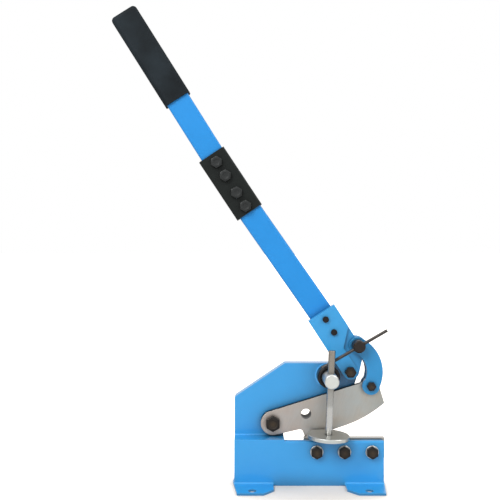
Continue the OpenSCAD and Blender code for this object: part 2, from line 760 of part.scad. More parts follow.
// Crescent link: part of a ring between the two pivots, with round ends
module link_outline() {
    from = heading(link_centre, link_low);
    to = heading(link_centre, link_top);
    reach = 2 * link_arc_r;
    intersection() {
        difference() {
            translate(link_centre) circle(r = link_arc_r + link_w / 2);
            translate(link_centre) circle(r = link_arc_r - link_w / 2);
        }
        translate(link_centre)
            polygon([[0, 0], reach * dir(from), reach * dir((from + to) / 2), reach * dir(to)]);
    }
    translate(link_top) circle(r = link_top_r);
    translate(link_low) circle(r = link_low_r);
}

module one_link(y) difference() {
    slab(y, link_t) link_outline();
    rod_y(link_top, y - over, y + link_t + over, link_pin_d / 2 + run_fit);
    rod_y(link_low, y - over, y + link_t + over, link_bolt_d / 2 + fixed_fit);
}

module front_link() color("dodgerblue") one_link(front_link_y);

module rear_link() color("dodgerblue") one_link(rear_link_y);

// Shoulder bolt that joins both links to the upper blade
module link_bolt() color("dimgray")
    hex_bolt(link_low, front_link_y, rear_link_back_y + link_bolt_d * (nut_share + thread_end_share),
        link_bolt_d, link_bolt_af, 0);

module link_nut() color("dimgray")
    hex_nut(link_low, rear_link_back_y, link_bolt_d, link_bolt_af, 0);

// Round knob on the pin's thread, cross-drilled for the tommy bar
module clamp_knob() color([0.16, 0.16, 0.17]) {
    back = front_link_y - face_gap;
    difference() {
        rod_y_chamfered(link_top, back - knob_l, back, knob_d / 2, arm_chamfer);
        rod_y(link_top, front_link_y - link_pin_thread_l - over, back + over, link_pin_thread_d / 2 + run_fit);
        tommy_place() cylinder(h = 2 * knob_d, d = tommy_d + 2 * run_fit, center = true);
    }
}

// Places a child drawn along Z on the tommy bar's line
module tommy_place() {
    translate([link_top[0], front_link_y - tommy_set, link_top[1]])
        rotate([0, 90 - tommy_angle, 0]) children();
}

module tommy_bar() color("dimgray")
    tommy_place() translate([0, 0, -tommy_l / 2 - tommy_slip]) cylinder(h = tommy_l, d = tommy_d);

// Places a child drawn along Z on the rod's line, the arm's axis at the origin
module rod_place() {
    translate([arm_axis[0], boss_y - arm_reach + rod_set, arm_axis[1]]) rotate([0, rod_lean, 0]) children();
}

// Bright bar through the boss, cross-drilled for the rod, with a stud at the back
module hold_down_arm() color("gainsboro") difference() {
    union() {
        rod_y_chamfered(arm_axis, boss_y - arm_reach, plate_back_y - face_gap, arm_d / 2, arm_chamfer);
        rod_y(arm_axis, plate_back_y - face_gap,
            plate_back_y + washer_t + face_gap + arm_stud_d * (nut_share + thread_end_share), arm_stud_d / 2);
    }
    rod_place() cylinder(h = 2 * arm_d, d = rod_d + 2 * run_fit, center = true);
    rod_place() rotate([0, 90, 0]) cylinder(h = arm_d, d = set_screw_d + 2 * fixed_fit);
}

// Steel collar on the arm, drawn against the boss, recessed at its front
module hold_down_collar() color([0.25, 0.25, 0.26]) difference() {
    rod_y_chamfered(arm_axis, boss_y - collar_t, boss_y - face_gap, collar_d / 2, arm_chamfer);
    rod_y(arm_axis, boss_y - collar_t - over, boss_y + over, arm_d / 2 + fixed_fit);
    rod_y(arm_axis, boss_y - collar_t - over, boss_y - collar_t + collar_recess_t, collar_recess_d / 2);
}

module hold_down_washer() color("gainsboro") difference() {
    rod_y(arm_axis, plate_back_y + face_gap, plate_back_y + face_gap + washer_t, arm_stud_d);
    rod_y(arm_axis, plate_back_y - over, plate_back_y + face_gap + washer_t + over, arm_stud_d / 2 + fixed_fit);
}

module hold_down_nut() color("dimgray")
    hex_nut(arm_axis, plate_back_y + face_gap + washer_t, arm_stud_d, arm_stud_d * 1.5, 0);

// Headless screw in the arm's right side that grips the rod
module hold_down_set_screw() color("dimgray") {
    tip = rod_d / 2 + run_fit;
    rod_place() rotate([0, 90, 0]) translate([0, 0, tip]) difference() {
        cylinder(h = arm_d / 2 - tip - over, d = set_screw_d);
        translate([0, 0, over]) cylinder(h = arm_d, d = set_screw_d / 2, $fn = 6);
    }
}

// Round rod with a flat top and a spigot for the disc
module hold_down_rod() color("lightgray") rod_place() {
    shoulder = disc_down - disc_t;
    translate([0, 0, -shoulder]) cylinder(h = shoulder + rod_up, d = rod_d);
    translate([0, 0, -disc_down]) cylinder(h = disc_t, d = spigot_d);
}

// Flat pressure disc with chamfered edges
module hold_down_disc() color("gainsboro") rod_place() translate([0, 0, -disc_down]) difference() {
    union() {
        cylinder(h = disc_chamfer, r1 = disc_d / 2 - disc_chamfer, r2 = disc_d / 2);
        translate([0, 0, disc_chamfer]) cylinder(h = disc_t - 2 * disc_chamfer, d = disc_d);
        translate([0, 0, disc_t - disc_chamfer])
            cylinder(h = disc_chamfer, r1 = disc_d / 2, r2 = disc_d / 2 - disc_chamfer);
    }
    translate([0, 0, -over]) cylinder(h = disc_t + 2 * over, d = spigot_d + 2 * fixed_fit);
}

frame_casting();
lower_blade();
lower_blade_bolts();
lower_blade_washers();
blade_pivot_bolt();
blade_pivot_washer();
blade_pivot_nut();
lever_pivot_bolt();
lever_pivot_nut();
upper_blade();
lever_plate();
lever_back_strap();
lever_screws();
lower_tube();
upper_tube();
splice_sleeve();
splice_bolts();
splice_nuts();
handle_grip();
link_pivot_pin();
front_link();
rear_link();
link_bolt();
link_nut();
clamp_knob();
tommy_bar();
hold_down_arm();
hold_down_collar();
hold_down_washer();
hold_down_nut();
hold_down_set_screw();
hold_down_rod();
hold_down_disc();
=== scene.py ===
import math

import bmesh
import bpy
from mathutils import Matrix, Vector


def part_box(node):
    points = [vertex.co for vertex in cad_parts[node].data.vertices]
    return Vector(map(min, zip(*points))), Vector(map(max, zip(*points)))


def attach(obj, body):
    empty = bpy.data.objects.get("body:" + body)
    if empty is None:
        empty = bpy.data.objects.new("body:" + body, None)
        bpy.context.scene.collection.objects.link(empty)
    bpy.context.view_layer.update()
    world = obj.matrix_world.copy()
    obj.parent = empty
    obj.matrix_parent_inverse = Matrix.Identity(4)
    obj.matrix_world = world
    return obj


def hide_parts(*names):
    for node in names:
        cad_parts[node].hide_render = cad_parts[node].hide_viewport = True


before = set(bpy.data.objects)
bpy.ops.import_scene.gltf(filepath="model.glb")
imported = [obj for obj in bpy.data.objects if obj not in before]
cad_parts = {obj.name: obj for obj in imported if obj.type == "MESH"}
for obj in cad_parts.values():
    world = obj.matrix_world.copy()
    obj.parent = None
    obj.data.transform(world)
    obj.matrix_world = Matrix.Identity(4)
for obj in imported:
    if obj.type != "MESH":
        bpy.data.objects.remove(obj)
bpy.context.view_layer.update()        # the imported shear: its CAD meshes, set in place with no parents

# Camera
# The photograph looks straight at the front of the shear, level, from a little over a metre away.
# It stands left of the frame, because the raised handle reaches far to the left.
camera_data = bpy.data.cameras.new("Photo_camera")
camera_data.sensor_width = 36
camera_data.lens = 50.4
camera_data.clip_start, camera_data.clip_end = 0.01, 100
camera = bpy.data.objects.new("Photo_camera", camera_data)
camera.location = (-0.094, -1.127, 0.375)
camera.rotation_euler = (math.radians(90), 0, 0)
bpy.context.scene.collection.objects.link(camera)
bpy.context.scene.camera = camera
bpy.context.scene.view_settings.view_transform = "Standard"


# Studio
# A white floor runs back to the horizon under an even white sky, as in a product photograph.
# A large soft lamp from the upper left gives the shading, and two weaker ones on the right open the shadows.
def new_material(name):
    """Material with an empty node tree, and that tree."""
    material = bpy.data.materials.new(name)
    material.use_nodes = True
    material.node_tree.nodes.clear()
    return material, material.node_tree


def add_node(tree, kind, *values, **settings):
    """Adds a node: values fill its first inputs, settings are properties, or inputs with _ for spaces."""
    node = tree.nodes.new(kind)
    for socket, value in zip(node.inputs, values):
        if value is not None:
            socket.default_value = value
    for name, value in settings.items():
        if hasattr(node, name):
            setattr(node, name, value)
        else:
            node.inputs[name.replace("_", " ")].default_value = value
    return node


def wire(tree, *pairs):
    """Links each output to its input."""
    for start, end in pairs:
        tree.links.new(start, end)


def lamp(name, place, aim, width, power):
    """Soft square lamp at a place, turned to its aim."""
    data = bpy.data.lights.new(name, "AREA")
    data.size, data.energy = width, power
    light = bpy.data.objects.new(name, data)
    light.location = place
    light.rotation_euler = (Vector(aim) - Vector(place)).to_track_quat("-Z", "Y").to_euler()
    bpy.context.scene.collection.objects.link(light)


# To the camera the floor glows white in the open, a little more with distance from the shear.
# In front of the wall it loses its glow, so that shade gathers there as in the photograph.
floor_side, floor_far = 30, 60
floor_mesh = bpy.data.meshes.new("Floor")
floor_mesh.from_pydata([(-floor_side, -floor_side, 0), (floor_side, -floor_side, 0),
                        (floor_side, floor_far, 0), (-floor_side, floor_far, 0)], [], [(0, 1, 2, 3)])
floor = bpy.data.objects.new("Floor", floor_mesh)
bpy.context.scene.collection.objects.link(floor)
floor_paper, tree = new_material("White floor paper")
paper = add_node(tree, "ShaderNodeBsdfDiffuse", Color=(0.8, 0.8, 0.8, 1))
seen_paper = add_node(tree, "ShaderNodeBsdfDiffuse", Color=(0.73, 0.68, 0.63, 1))
glow = add_node(tree, "ShaderNodeEmission", Color=(1, 0.97, 0.93, 1))
towards_wall = add_node(tree, "ShaderNodeCombineXYZ", Y=0.97, Z=0.24)
open_air = add_node(tree, "ShaderNodeAmbientOcclusion", Distance=0.13)
fading = add_node(tree, "ShaderNodeMath", None, 3.4, operation="POWER")
spot = add_node(tree, "ShaderNodeTexCoord")
away = add_node(tree, "ShaderNodeVectorMath", operation="LENGTH")
rising = add_node(tree, "ShaderNodeMapRange", From_Max=4.0, To_Min=1.0, To_Max=1.4)
strength = add_node(tree, "ShaderNodeMath", operation="MULTIPLY")
glowing = add_node(tree, "ShaderNodeAddShader")
seen = add_node(tree, "ShaderNodeMixShader")
path = add_node(tree, "ShaderNodeLightPath")
surface = add_node(tree, "ShaderNodeOutputMaterial")
wire(tree,
     (towards_wall.outputs[0], open_air.inputs["Normal"]), (open_air.outputs["AO"], fading.inputs[0]),
     (spot.outputs["Object"], away.inputs[0]), (away.outputs["Value"], rising.inputs["Value"]),
     (rising.outputs[0], strength.inputs[0]), (fading.outputs[0], strength.inputs[1]),
     (strength.outputs[0], glow.inputs["Strength"]), (seen_paper.outputs[0], glowing.inputs[0]),
     (glow.outputs[0], glowing.inputs[1]), (path.outputs["Is Camera Ray"], seen.inputs[0]),
     (paper.outputs[0], seen.inputs[1]), (glowing.outputs[0], seen.inputs[2]),
     (seen.outputs[0], surface.inputs["Surface"]))
floor_mesh.materials.append(floor_paper)

# The sky lights the shear at half strength; what metal mirrors of it darkens far to the left and right
world = bpy.data.worlds.new("Studio_sky")
world.use_nodes = True
bpy.context.scene.world = world
tree = world.node_tree
tree.nodes.clear()
lighting = add_node(tree, "ShaderNodeBackground", Color=(1, 1, 1, 1), Strength=0.5)
mirrored = add_node(tree, "ShaderNodeBackground", Color=(1, 1, 1, 1))
shown = add_node(tree, "ShaderNodeBackground", Color=(1, 1, 1, 1), Strength=1.0)
path = add_node(tree, "ShaderNodeLightPath")
direction = add_node(tree, "ShaderNodeTexCoord")
parts = add_node(tree, "ShaderNodeSeparateXYZ")
aside = add_node(tree, "ShaderNodeMath", operation="ABSOLUTE")
darker = add_node(tree, "ShaderNodeMapRange", From_Min=0.6, From_Max=0.95, To_Min=1.0, To_Max=0.12)
unseen = add_node(tree, "ShaderNodeMixShader")
mixed = add_node(tree, "ShaderNodeMixShader")
surface = add_node(tree, "ShaderNodeOutputWorld")
wire(tree,
     (direction.outputs["Generated"], parts.inputs[0]), (parts.outputs["X"], aside.inputs[0]),
     (aside.outputs[0], darker.inputs["Value"]), (darker.outputs[0], mirrored.inputs["Strength"]),
     (path.outputs["Is Glossy Ray"], unseen.inputs[0]), (lighting.outputs[0], unseen.inputs[1]),
     (mirrored.outputs[0], unseen.inputs[2]), (path.outputs["Is Camera Ray"], mixed.inputs[0]),
     (unseen.outputs[0], mixed.inputs[1]), (shown.outputs[0], mixed.inputs[2]),
     (mixed.outputs[0], surface.inputs["Surface"]))
lamp("Key_lamp", (-2.2, -3.0, 3.2), (0.0, 0.0, 0.2), 2.2, 143)
lamp("Fill_lamp", (3.2, -2.4, 1.6), (0.0, 0.0, 0.2), 2.4, 26)
lamp("Rim_lamp", (1.9, -0.7, 2.3), (0.0, 0.0, 0.3), 0.8, 18)


# Frame
# The casting of rear plate, shelf, front wall, four lugs and boss, cast in iron and sprayed in one blue coat.
# Its edges are softened by the casting and the paint; the paint is thinner along them, and lighter there
# partly as wear and partly as a painted highlight.
seam = 2e-6
flat_angle, sharp_angle = math.radians(0.4), math.radians(30)


def close_copy(node, width, segments=3):
    """Copy of a CAD node with its seams merged and its sharp edges rounded to that width."""
    name = node.capitalize()
    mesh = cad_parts[node].data.copy()
    mesh.name = name
    mesh.materials.clear()
    shape = bmesh.new()
    shape.from_mesh(mesh)
    bmesh.ops.remove_doubles(shape, verts=shape.verts, dist=seam)
    bmesh.ops.dissolve_limit(shape, angle_limit=flat_angle, verts=shape.verts, edges=shape.edges)
    bmesh.ops.recalc_face_normals(shape, faces=shape.faces)
    shape.to_mesh(mesh)
    shape.free()
    piece = bpy.data.objects.new(name, mesh)
    bpy.context.scene.collection.objects.link(piece)
    rounding = piece.modifiers.new("Rounded edges", "BEVEL")
    rounding.width, rounding.segments = width, segments
    rounding.limit_method, rounding.angle_limit = "ANGLE", sharp_angle
    rounding.miter_outer = "MITER_ARC"
    return piece


def plain_mesh(piece):
    """Turns the modifiers of a piece into plain mesh."""
    ready = bpy.data.meshes.new_from_object(piece.evaluated_get(bpy.context.evaluated_depsgraph_get()))
    piece.modifiers.clear()
    piece.data = ready
    return ready


def settle(piece, node, body, material, smooth=35):
    """Makes a piece plain mesh, smooths it, gives it its finish, hides its CAD node and ties it to its body.
    """
    plain_mesh(piece).shade_smooth()
    piece.data.set_sharp_from_angle(angle=math.radians(smooth))
    piece.modifiers.new("Even flats", "WEIGHTED_NORMAL").keep_sharp = True
    ready = plain_mesh(piece)
    ready.materials.clear()
    ready.materials.append(material)
    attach(piece, body)
    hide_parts(node)
    return piece


def dress(node, body, material, width, segments=3, smooth=35):
    """Replaces a CAD node by its close copy in that finish."""
    return settle(close_copy(node, width, segments), node, body, material, smooth)


def shader_group(name, inputs, outputs):
    """Empty shader node group with inputs given as {name: default} and outputs as {name: socket kind}."""
    group = bpy.data.node_groups.new(name, "ShaderNodeTree")
    for label, value in inputs.items():
        kind = "NodeSocketColor" if isinstance(value, tuple) else "NodeSocketFloat"
        group.interface.new_socket(label, in_out="INPUT", socket_type=kind).default_value = value
    for label, kind in outputs.items():
        group.interface.new_socket(label, in_out="OUTPUT", socket_type=kind)
    return group, add_node(group, "NodeGroupInput"), add_node(group, "NodeGroupOutput")


def rgba(node, index=None):
    """The colour input of that number of a Mix node, or its colour output."""
    sockets = node.outputs if index is None else node.inputs
    return [socket for socket in sockets if socket.type == "RGBA"][index or 0]


coat_outputs = {"Colour": "NodeSocketColor", "Roughness": "NodeSocketFloat", "Height": "NodeSocketFloat"}

# Mask that is 1 along outer edges and 0 on flat faces, broken up by a fine noise; it places edge wear and
# painted edge highlights
edge_group, start, end = shader_group(
    "Edge rub and highlight", {"Width": 0.001, "Reach": 6.0, "Break": 260.0}, {"Mask": "NodeSocketFloat"})
rounded = add_node(edge_group, "ShaderNodeBevel", samples=6)
geometry = add_node(edge_group, "ShaderNodeNewGeometry")
likeness = add_node(edge_group, "ShaderNodeVectorMath", operation="DOT_PRODUCT")
turned_away = add_node(edge_group, "ShaderNodeMath", 1.0, operation="SUBTRACT")
gain = add_node(edge_group, "ShaderNodeMath", operation="MULTIPLY", use_clamp=True)
spot = add_node(edge_group, "ShaderNodeTexCoord")
speck = add_node(edge_group, "ShaderNodeTexNoise", Detail=3.0)
broken = add_node(edge_group, "ShaderNodeMath", operation="MULTIPLY", use_clamp=True)
wire(edge_group,
     (start.outputs["Width"], rounded.inputs["Radius"]), (rounded.outputs["Normal"], likeness.inputs[0]),
     (geometry.outputs["Normal"], likeness.inputs[1]), (likeness.outputs["Value"], turned_away.inputs[1]),
     (turned_away.outputs[0], gain.inputs[0]), (start.outputs["Reach"], gain.inputs[1]),
     (spot.outputs["Object"], speck.inputs["Vector"]), (start.outputs["Break"], speck.inputs["Scale"]),
     (gain.outputs[0], broken.inputs[0]), (speck.outputs["Fac"], broken.inputs[1]),
     (broken.outputs[0], end.inputs["Mask"]))

# Factor that is 1 in the open and falls in corners and gaps: painted shade where the light is shut out
crevice_shade_group, start, end = shader_group(
    "Painted crevice shade", {"Reach": 0.012, "Depth": 0.7, "Spare": 0.0}, {"Unshaded": "NodeSocketFloat"})
hollow = add_node(crevice_shade_group, "ShaderNodeAmbientOcclusion", samples=8)
own_hollow = add_node(crevice_shade_group, "ShaderNodeAmbientOcclusion", samples=8, only_local=True)
spared = add_node(crevice_shade_group, "ShaderNodeMix", data_type="FLOAT")
spared.inputs["A"].default_value = 1.0
besides = add_node(crevice_shade_group, "ShaderNodeMath", operation="DIVIDE")
lift = add_node(crevice_shade_group, "ShaderNodeMapRange", From_Min=0.15, From_Max=0.95)
lost = add_node(crevice_shade_group, "ShaderNodeMath", 1.0, operation="SUBTRACT")
wire(crevice_shade_group,
     (start.outputs["Reach"], hollow.inputs["Distance"]),
     (start.outputs["Reach"], own_hollow.inputs["Distance"]),
     (start.outputs["Spare"], spared.inputs["Factor"]), (own_hollow.outputs["AO"], spared.inputs["B"]),
     (hollow.outputs["AO"], besides.inputs[0]), (spared.outputs["Result"], besides.inputs[1]),
     (besides.outputs[0], lift.inputs["Value"]),
     (start.outputs["Depth"], lost.inputs[1]), (lost.outputs[0], lift.inputs["To Min"]),
     (lift.outputs[0], end.inputs["Unshaded"]))


def crevice_shaded(tree, colour_socket, target_socket, reach=0.012, depth=0.7, spare=0.0):
    """Puts painted shade into a colour in corners and gaps on its way to a shader; spare leaves out the
    piece's own ones.
    """
    crevice_shade = add_node(tree, "ShaderNodeGroup", node_tree=crevice_shade_group, Reach=reach, Depth=depth, Spare=spare)
    darker = add_node(tree, "ShaderNodeHueSaturation")
    wire(tree, (crevice_shade.outputs["Unshaded"], darker.inputs["Value"]), (colour_socket, darker.inputs["Color"]),
         (darker.outputs["Color"], target_socket))


# Sprayed paint: slow drift of the colour, fine orange peel in the height, slightly uneven gloss
spray_group, start, end = shader_group(
    "Sprayed coat", {"Colour": (0.02, 0.3, 0.75, 1.0), "Drift": 0.12, "Peel": 420.0}, coat_outputs)
spot = add_node(spray_group, "ShaderNodeTexCoord")
cloud = add_node(spray_group, "ShaderNodeTexNoise", Scale=14.0, Detail=4.0, Roughness=0.6)
centred = add_node(spray_group, "ShaderNodeMath", None, 0.5, operation="SUBTRACT")
scaled = add_node(spray_group, "ShaderNodeMath", None, None, 1.0, operation="MULTIPLY_ADD")
drift = add_node(spray_group, "ShaderNodeHueSaturation")
orange_peel = add_node(spray_group, "ShaderNodeTexNoise", Detail=2.0, Roughness=0.5)
gloss = add_node(spray_group, "ShaderNodeMapRange", To_Min=0.3, To_Max=0.48)
wire(spray_group,
     (spot.outputs["Object"], cloud.inputs["Vector"]), (spot.outputs["Object"], orange_peel.inputs["Vector"]),
     (start.outputs["Peel"], orange_peel.inputs["Scale"]), (cloud.outputs["Fac"], centred.inputs[0]),
     (centred.outputs[0], scaled.inputs[0]), (start.outputs["Drift"], scaled.inputs[1]),
     (scaled.outputs[0], drift.inputs["Value"]), (start.outputs["Colour"], drift.inputs["Color"]),
     (drift.outputs["Color"], end.inputs["Colour"]), (cloud.outputs["Fac"], gloss.inputs["Value"]),
     (gloss.outputs[0], end.inputs["Roughness"]), (orange_peel.outputs["Fac"], end.inputs["Height"]))


def enamel(name, colour, edge_colour, edge_width=0.0012, coat=0.25, peel=0.05, shine=0.4, reach=0.012,
           depth=0.7, spare=0.0, corner_highlight=None):
    """Sprayed enamel, thinner along the edges and lighter there partly as wear and partly as a painted
    highlight; its concave corners can take a lighter painted highlight.
    """
    material, tree = new_material(name)
    spray = add_node(tree, "ShaderNodeGroup", node_tree=spray_group, Colour=colour)
    edges = add_node(tree, "ShaderNodeGroup", node_tree=edge_group, Width=edge_width)
    edge_tone = add_node(tree, "ShaderNodeMix", data_type="RGBA")
    rgba(edge_tone, 1).default_value = edge_colour
    bump = add_node(tree, "ShaderNodeBump", Strength=peel, Distance=0.0006)
    paint = add_node(tree, "ShaderNodeBsdfPrincipled", Coat_Weight=coat, Coat_Roughness=0.12,
                     Specular_IOR_Level=shine)
    surface = add_node(tree, "ShaderNodeOutputMaterial")
    wire(tree,
         (edges.outputs["Mask"], edge_tone.inputs["Factor"]), (spray.outputs["Colour"], rgba(edge_tone, 0)),
         (spray.outputs["Roughness"], paint.inputs["Roughness"]),
         (spray.outputs["Height"], bump.inputs["Height"]), (bump.outputs[0], paint.inputs["Normal"]),
         (paint.outputs[0], surface.inputs["Surface"]))
    tone = rgba(edge_tone)
    # A lighter tone in the piece's own concave corners is a painted highlight
    if corner_highlight:
        corner = add_node(tree, "ShaderNodeAmbientOcclusion", samples=8, only_local=True, Distance=0.0035)
        highlight_share = add_node(tree, "ShaderNodeMapRange", From_Min=0.9, From_Max=0.55)
        highlighted = add_node(tree, "ShaderNodeMix", data_type="RGBA")
        rgba(highlighted, 1).default_value = corner_highlight
        wire(tree, (corner.outputs["AO"], highlight_share.inputs["Value"]), (highlight_share.outputs[0], highlighted.inputs["Factor"]),
             (tone, rgba(highlighted, 0)))
        tone = rgba(highlighted)
    # Painted shade in corners and gaps
    crevice_shaded(tree, tone, paint.inputs["Base Color"], reach, depth, spare)
    return material


# The casting gets painted highlights along its edges and in its own corners, and painted shade only where
# other parts come close
frame_blue = enamel("Frame blue enamel", (0.027, 0.315, 0.695, 1), (0.15, 0.50, 0.84, 1), coat=0.6,
                    reach=0.03, depth=0.85, spare=1.0, corner_highlight=(0.12, 0.49, 0.88, 1))
casting = dress("frame_casting", "frame", frame_blue, 0.0015)

# The hole for round bar through the rear plate is bare steel; its near-black tone is painted shade inside the
# hole
shaded_bore_steel, tree = new_material("Bare bore of the casting in painted shade")
spot = add_node(tree, "ShaderNodeTexCoord")
grain = add_node(tree, "ShaderNodeTexNoise", Scale=4500.0, Detail=3.0)
shades = add_node(tree, "ShaderNodeValToRGB")
for shade, colour in zip(shades.color_ramp.elements, ((0.01, 0.008, 0.006, 1), (0.06, 0.05, 0.04, 1))):
    shade.color = colour
dent = add_node(tree, "ShaderNodeBump", Strength=0.2, Distance=0.0002)
bore_finish = add_node(tree, "ShaderNodeBsdfPrincipled", Metallic=0.4, Roughness=0.6)
surface = add_node(tree, "ShaderNodeOutputMaterial")
wire(tree,
     (spot.outputs["Object"], grain.inputs["Vector"]), (grain.outputs["Fac"], shades.inputs["Fac"]),
     (shades.outputs["Color"], bore_finish.inputs["Base Color"]), (grain.outputs["Fac"], dent.inputs["Height"]),
     (dent.outputs[0], bore_finish.inputs["Normal"]), (bore_finish.outputs[0], surface.inputs["Surface"]))
casting.data.materials.append(shaded_bore_steel)
plate_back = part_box("blade_pivot_washer")[0].y
plate_thickness, corner = 0.02, 0.0002
bar_hole_x, bar_hole_z, bar_hole_reach = -0.00302, 0.10923, 0.0086
for face in casting.data.polygons:
    in_plate = plate_back - plate_thickness + corner < face.center.y < plate_back - corner
    if in_plate and math.hypot(face.center.x - bar_hole_x, face.center.z - bar_hole_z) < bar_hole_reach:
        face.material_index = 1


# Lower blade
# A hardened flat bar, ground on both faces, lying against the back of the wall.
# Its faces keep fine grinding lines; its narrow sides have a tone of their own.
grind_group, start, end = shader_group(
    "Grinding marks",
    {"Colour": (0.4, 0.39, 0.36, 1.0), "Along": 30.0, "Across": 1800.0, "Angle": 0.0, "Tint": 0.3},
    coat_outputs)
spot = add_node(grind_group, "ShaderNodeTexCoord")
spin = add_node(grind_group, "ShaderNodeVectorRotate", rotation_type="Y_AXIS")
stretch = add_node(grind_group, "ShaderNodeCombineXYZ")
stretched = add_node(grind_group, "ShaderNodeVectorMath", operation="MULTIPLY")
lines = add_node(grind_group, "ShaderNodeTexNoise", Scale=1.0, Detail=3.0, Roughness=0.65)
stain = add_node(grind_group, "ShaderNodeTexNoise", Scale=26.0, Detail=4.0, Roughness=0.6)
tone = add_node(grind_group, "ShaderNodeMapRange", To_Min=0.86, To_Max=1.14)
tinted = add_node(grind_group, "ShaderNodeHueSaturation")
warm = add_node(grind_group, "ShaderNodeMix", data_type="RGBA", blend_type="MULTIPLY")
hues = add_node(grind_group, "ShaderNodeValToRGB")
clean_metal, old_oil = (0.35, (0.93, 1, 1, 1)), (0.68, (1, 0.91, 0.80, 1))
for hue, (share, colour) in zip(hues.color_ramp.elements, (clean_metal, old_oil)):
    hue.position, hue.color = share, colour
rough = add_node(grind_group, "ShaderNodeMapRange", To_Min=0.32, To_Max=0.5)
wire(grind_group,
     (spot.outputs["Object"], spin.inputs["Vector"]), (start.outputs["Angle"], spin.inputs["Angle"]),
     (start.outputs["Along"], stretch.inputs["X"]), (start.outputs["Across"], stretch.inputs["Y"]),
     (start.outputs["Across"], stretch.inputs["Z"]), (spin.outputs[0], stretched.inputs[0]),
     (stretch.outputs[0], stretched.inputs[1]), (stretched.outputs[0], lines.inputs["Vector"]),
     (spot.outputs["Object"], stain.inputs["Vector"]), (lines.outputs["Fac"], tone.inputs["Value"]),
     (tone.outputs[0], tinted.inputs["Value"]), (start.outputs["Colour"], tinted.inputs["Color"]),
     (stain.outputs["Fac"], hues.inputs["Fac"]), (start.outputs["Tint"], warm.inputs["Factor"]),
     (tinted.outputs["Color"], rgba(warm, 0)), (hues.outputs["Color"], rgba(warm, 1)),
     (rgba(warm), end.inputs["Colour"]), (stain.outputs["Fac"], rough.inputs["Value"]),
     (rough.outputs[0], end.inputs["Roughness"]), (lines.outputs["Fac"], end.inputs["Height"]))

# Mask that is 1 on faces that look to the front or the back, 0 on the narrow sides
side_group, start, end = shader_group("Broad faces", {"Limit": 0.7}, {"Mask": "NodeSocketFloat"})
spot = add_node(side_group, "ShaderNodeTexCoord")
parts = add_node(side_group, "ShaderNodeSeparateXYZ")
straight = add_node(side_group, "ShaderNodeMath", operation="ABSOLUTE")
test = add_node(side_group, "ShaderNodeMath", operation="GREATER_THAN")
wire(side_group, (spot.outputs["Normal"], parts.inputs[0]), (parts.outputs["Y"], straight.inputs[0]),
     (straight.outputs[0], test.inputs[0]), (start.outputs["Limit"], test.inputs[1]),
     (test.outputs[0], end.inputs["Mask"]))


def ground_steel(name, colour, side_colour, angle=0.0, tint=0.6, along=30.0, across=1800.0, dull=1.0,
                 depth=0.7):
    """Ground steel: marked broad faces and plainer narrow sides; dull scales the roughness."""
    material, tree = new_material(name)
    marks = add_node(tree, "ShaderNodeGroup", node_tree=grind_group, Colour=colour, Angle=angle, Tint=tint,
                     Along=along, Across=across)
    broad = add_node(tree, "ShaderNodeGroup", node_tree=side_group)
    edges = add_node(tree, "ShaderNodeGroup", node_tree=edge_group, Width=0.0008)
    faces = add_node(tree, "ShaderNodeMix", data_type="RGBA")
    rgba(faces, 0).default_value = side_colour
    rubbed = add_node(tree, "ShaderNodeMix", data_type="RGBA")
    rgba(rubbed, 1).default_value = tuple(min(1, 1.25 * share) for share in colour[:3]) + (1,)
    bump = add_node(tree, "ShaderNodeBump", Strength=0.12, Distance=0.0002)
    sheen = add_node(tree, "ShaderNodeMath", None, dull, operation="MULTIPLY")
    steel = add_node(tree, "ShaderNodeBsdfPrincipled", Metallic=1.0)
    surface = add_node(tree, "ShaderNodeOutputMaterial")
    wire(tree,
         (broad.outputs["Mask"], faces.inputs["Factor"]), (marks.outputs["Colour"], rgba(faces, 1)),
         (rgba(faces), rgba(rubbed, 0)), (edges.outputs["Mask"], rubbed.inputs["Factor"]),
         (marks.outputs["Roughness"], sheen.inputs[0]), (sheen.outputs[0], steel.inputs["Roughness"]),
         (marks.outputs["Height"], bump.inputs["Height"]), (bump.outputs[0], steel.inputs["Normal"]),
         (steel.outputs[0], surface.inputs["Surface"]))
    # Painted shade in corners and gaps
    crevice_shaded(tree, rgba(rubbed), steel.inputs["Base Color"], 0.008, depth)
    return material


lower_steel = ground_steel("Lower blade steel", (0.50, 0.48, 0.44, 1), (0.62, 0.60, 0.57, 1))
dress("lower_blade", "frame", lower_steel, 0.0003, segments=2)


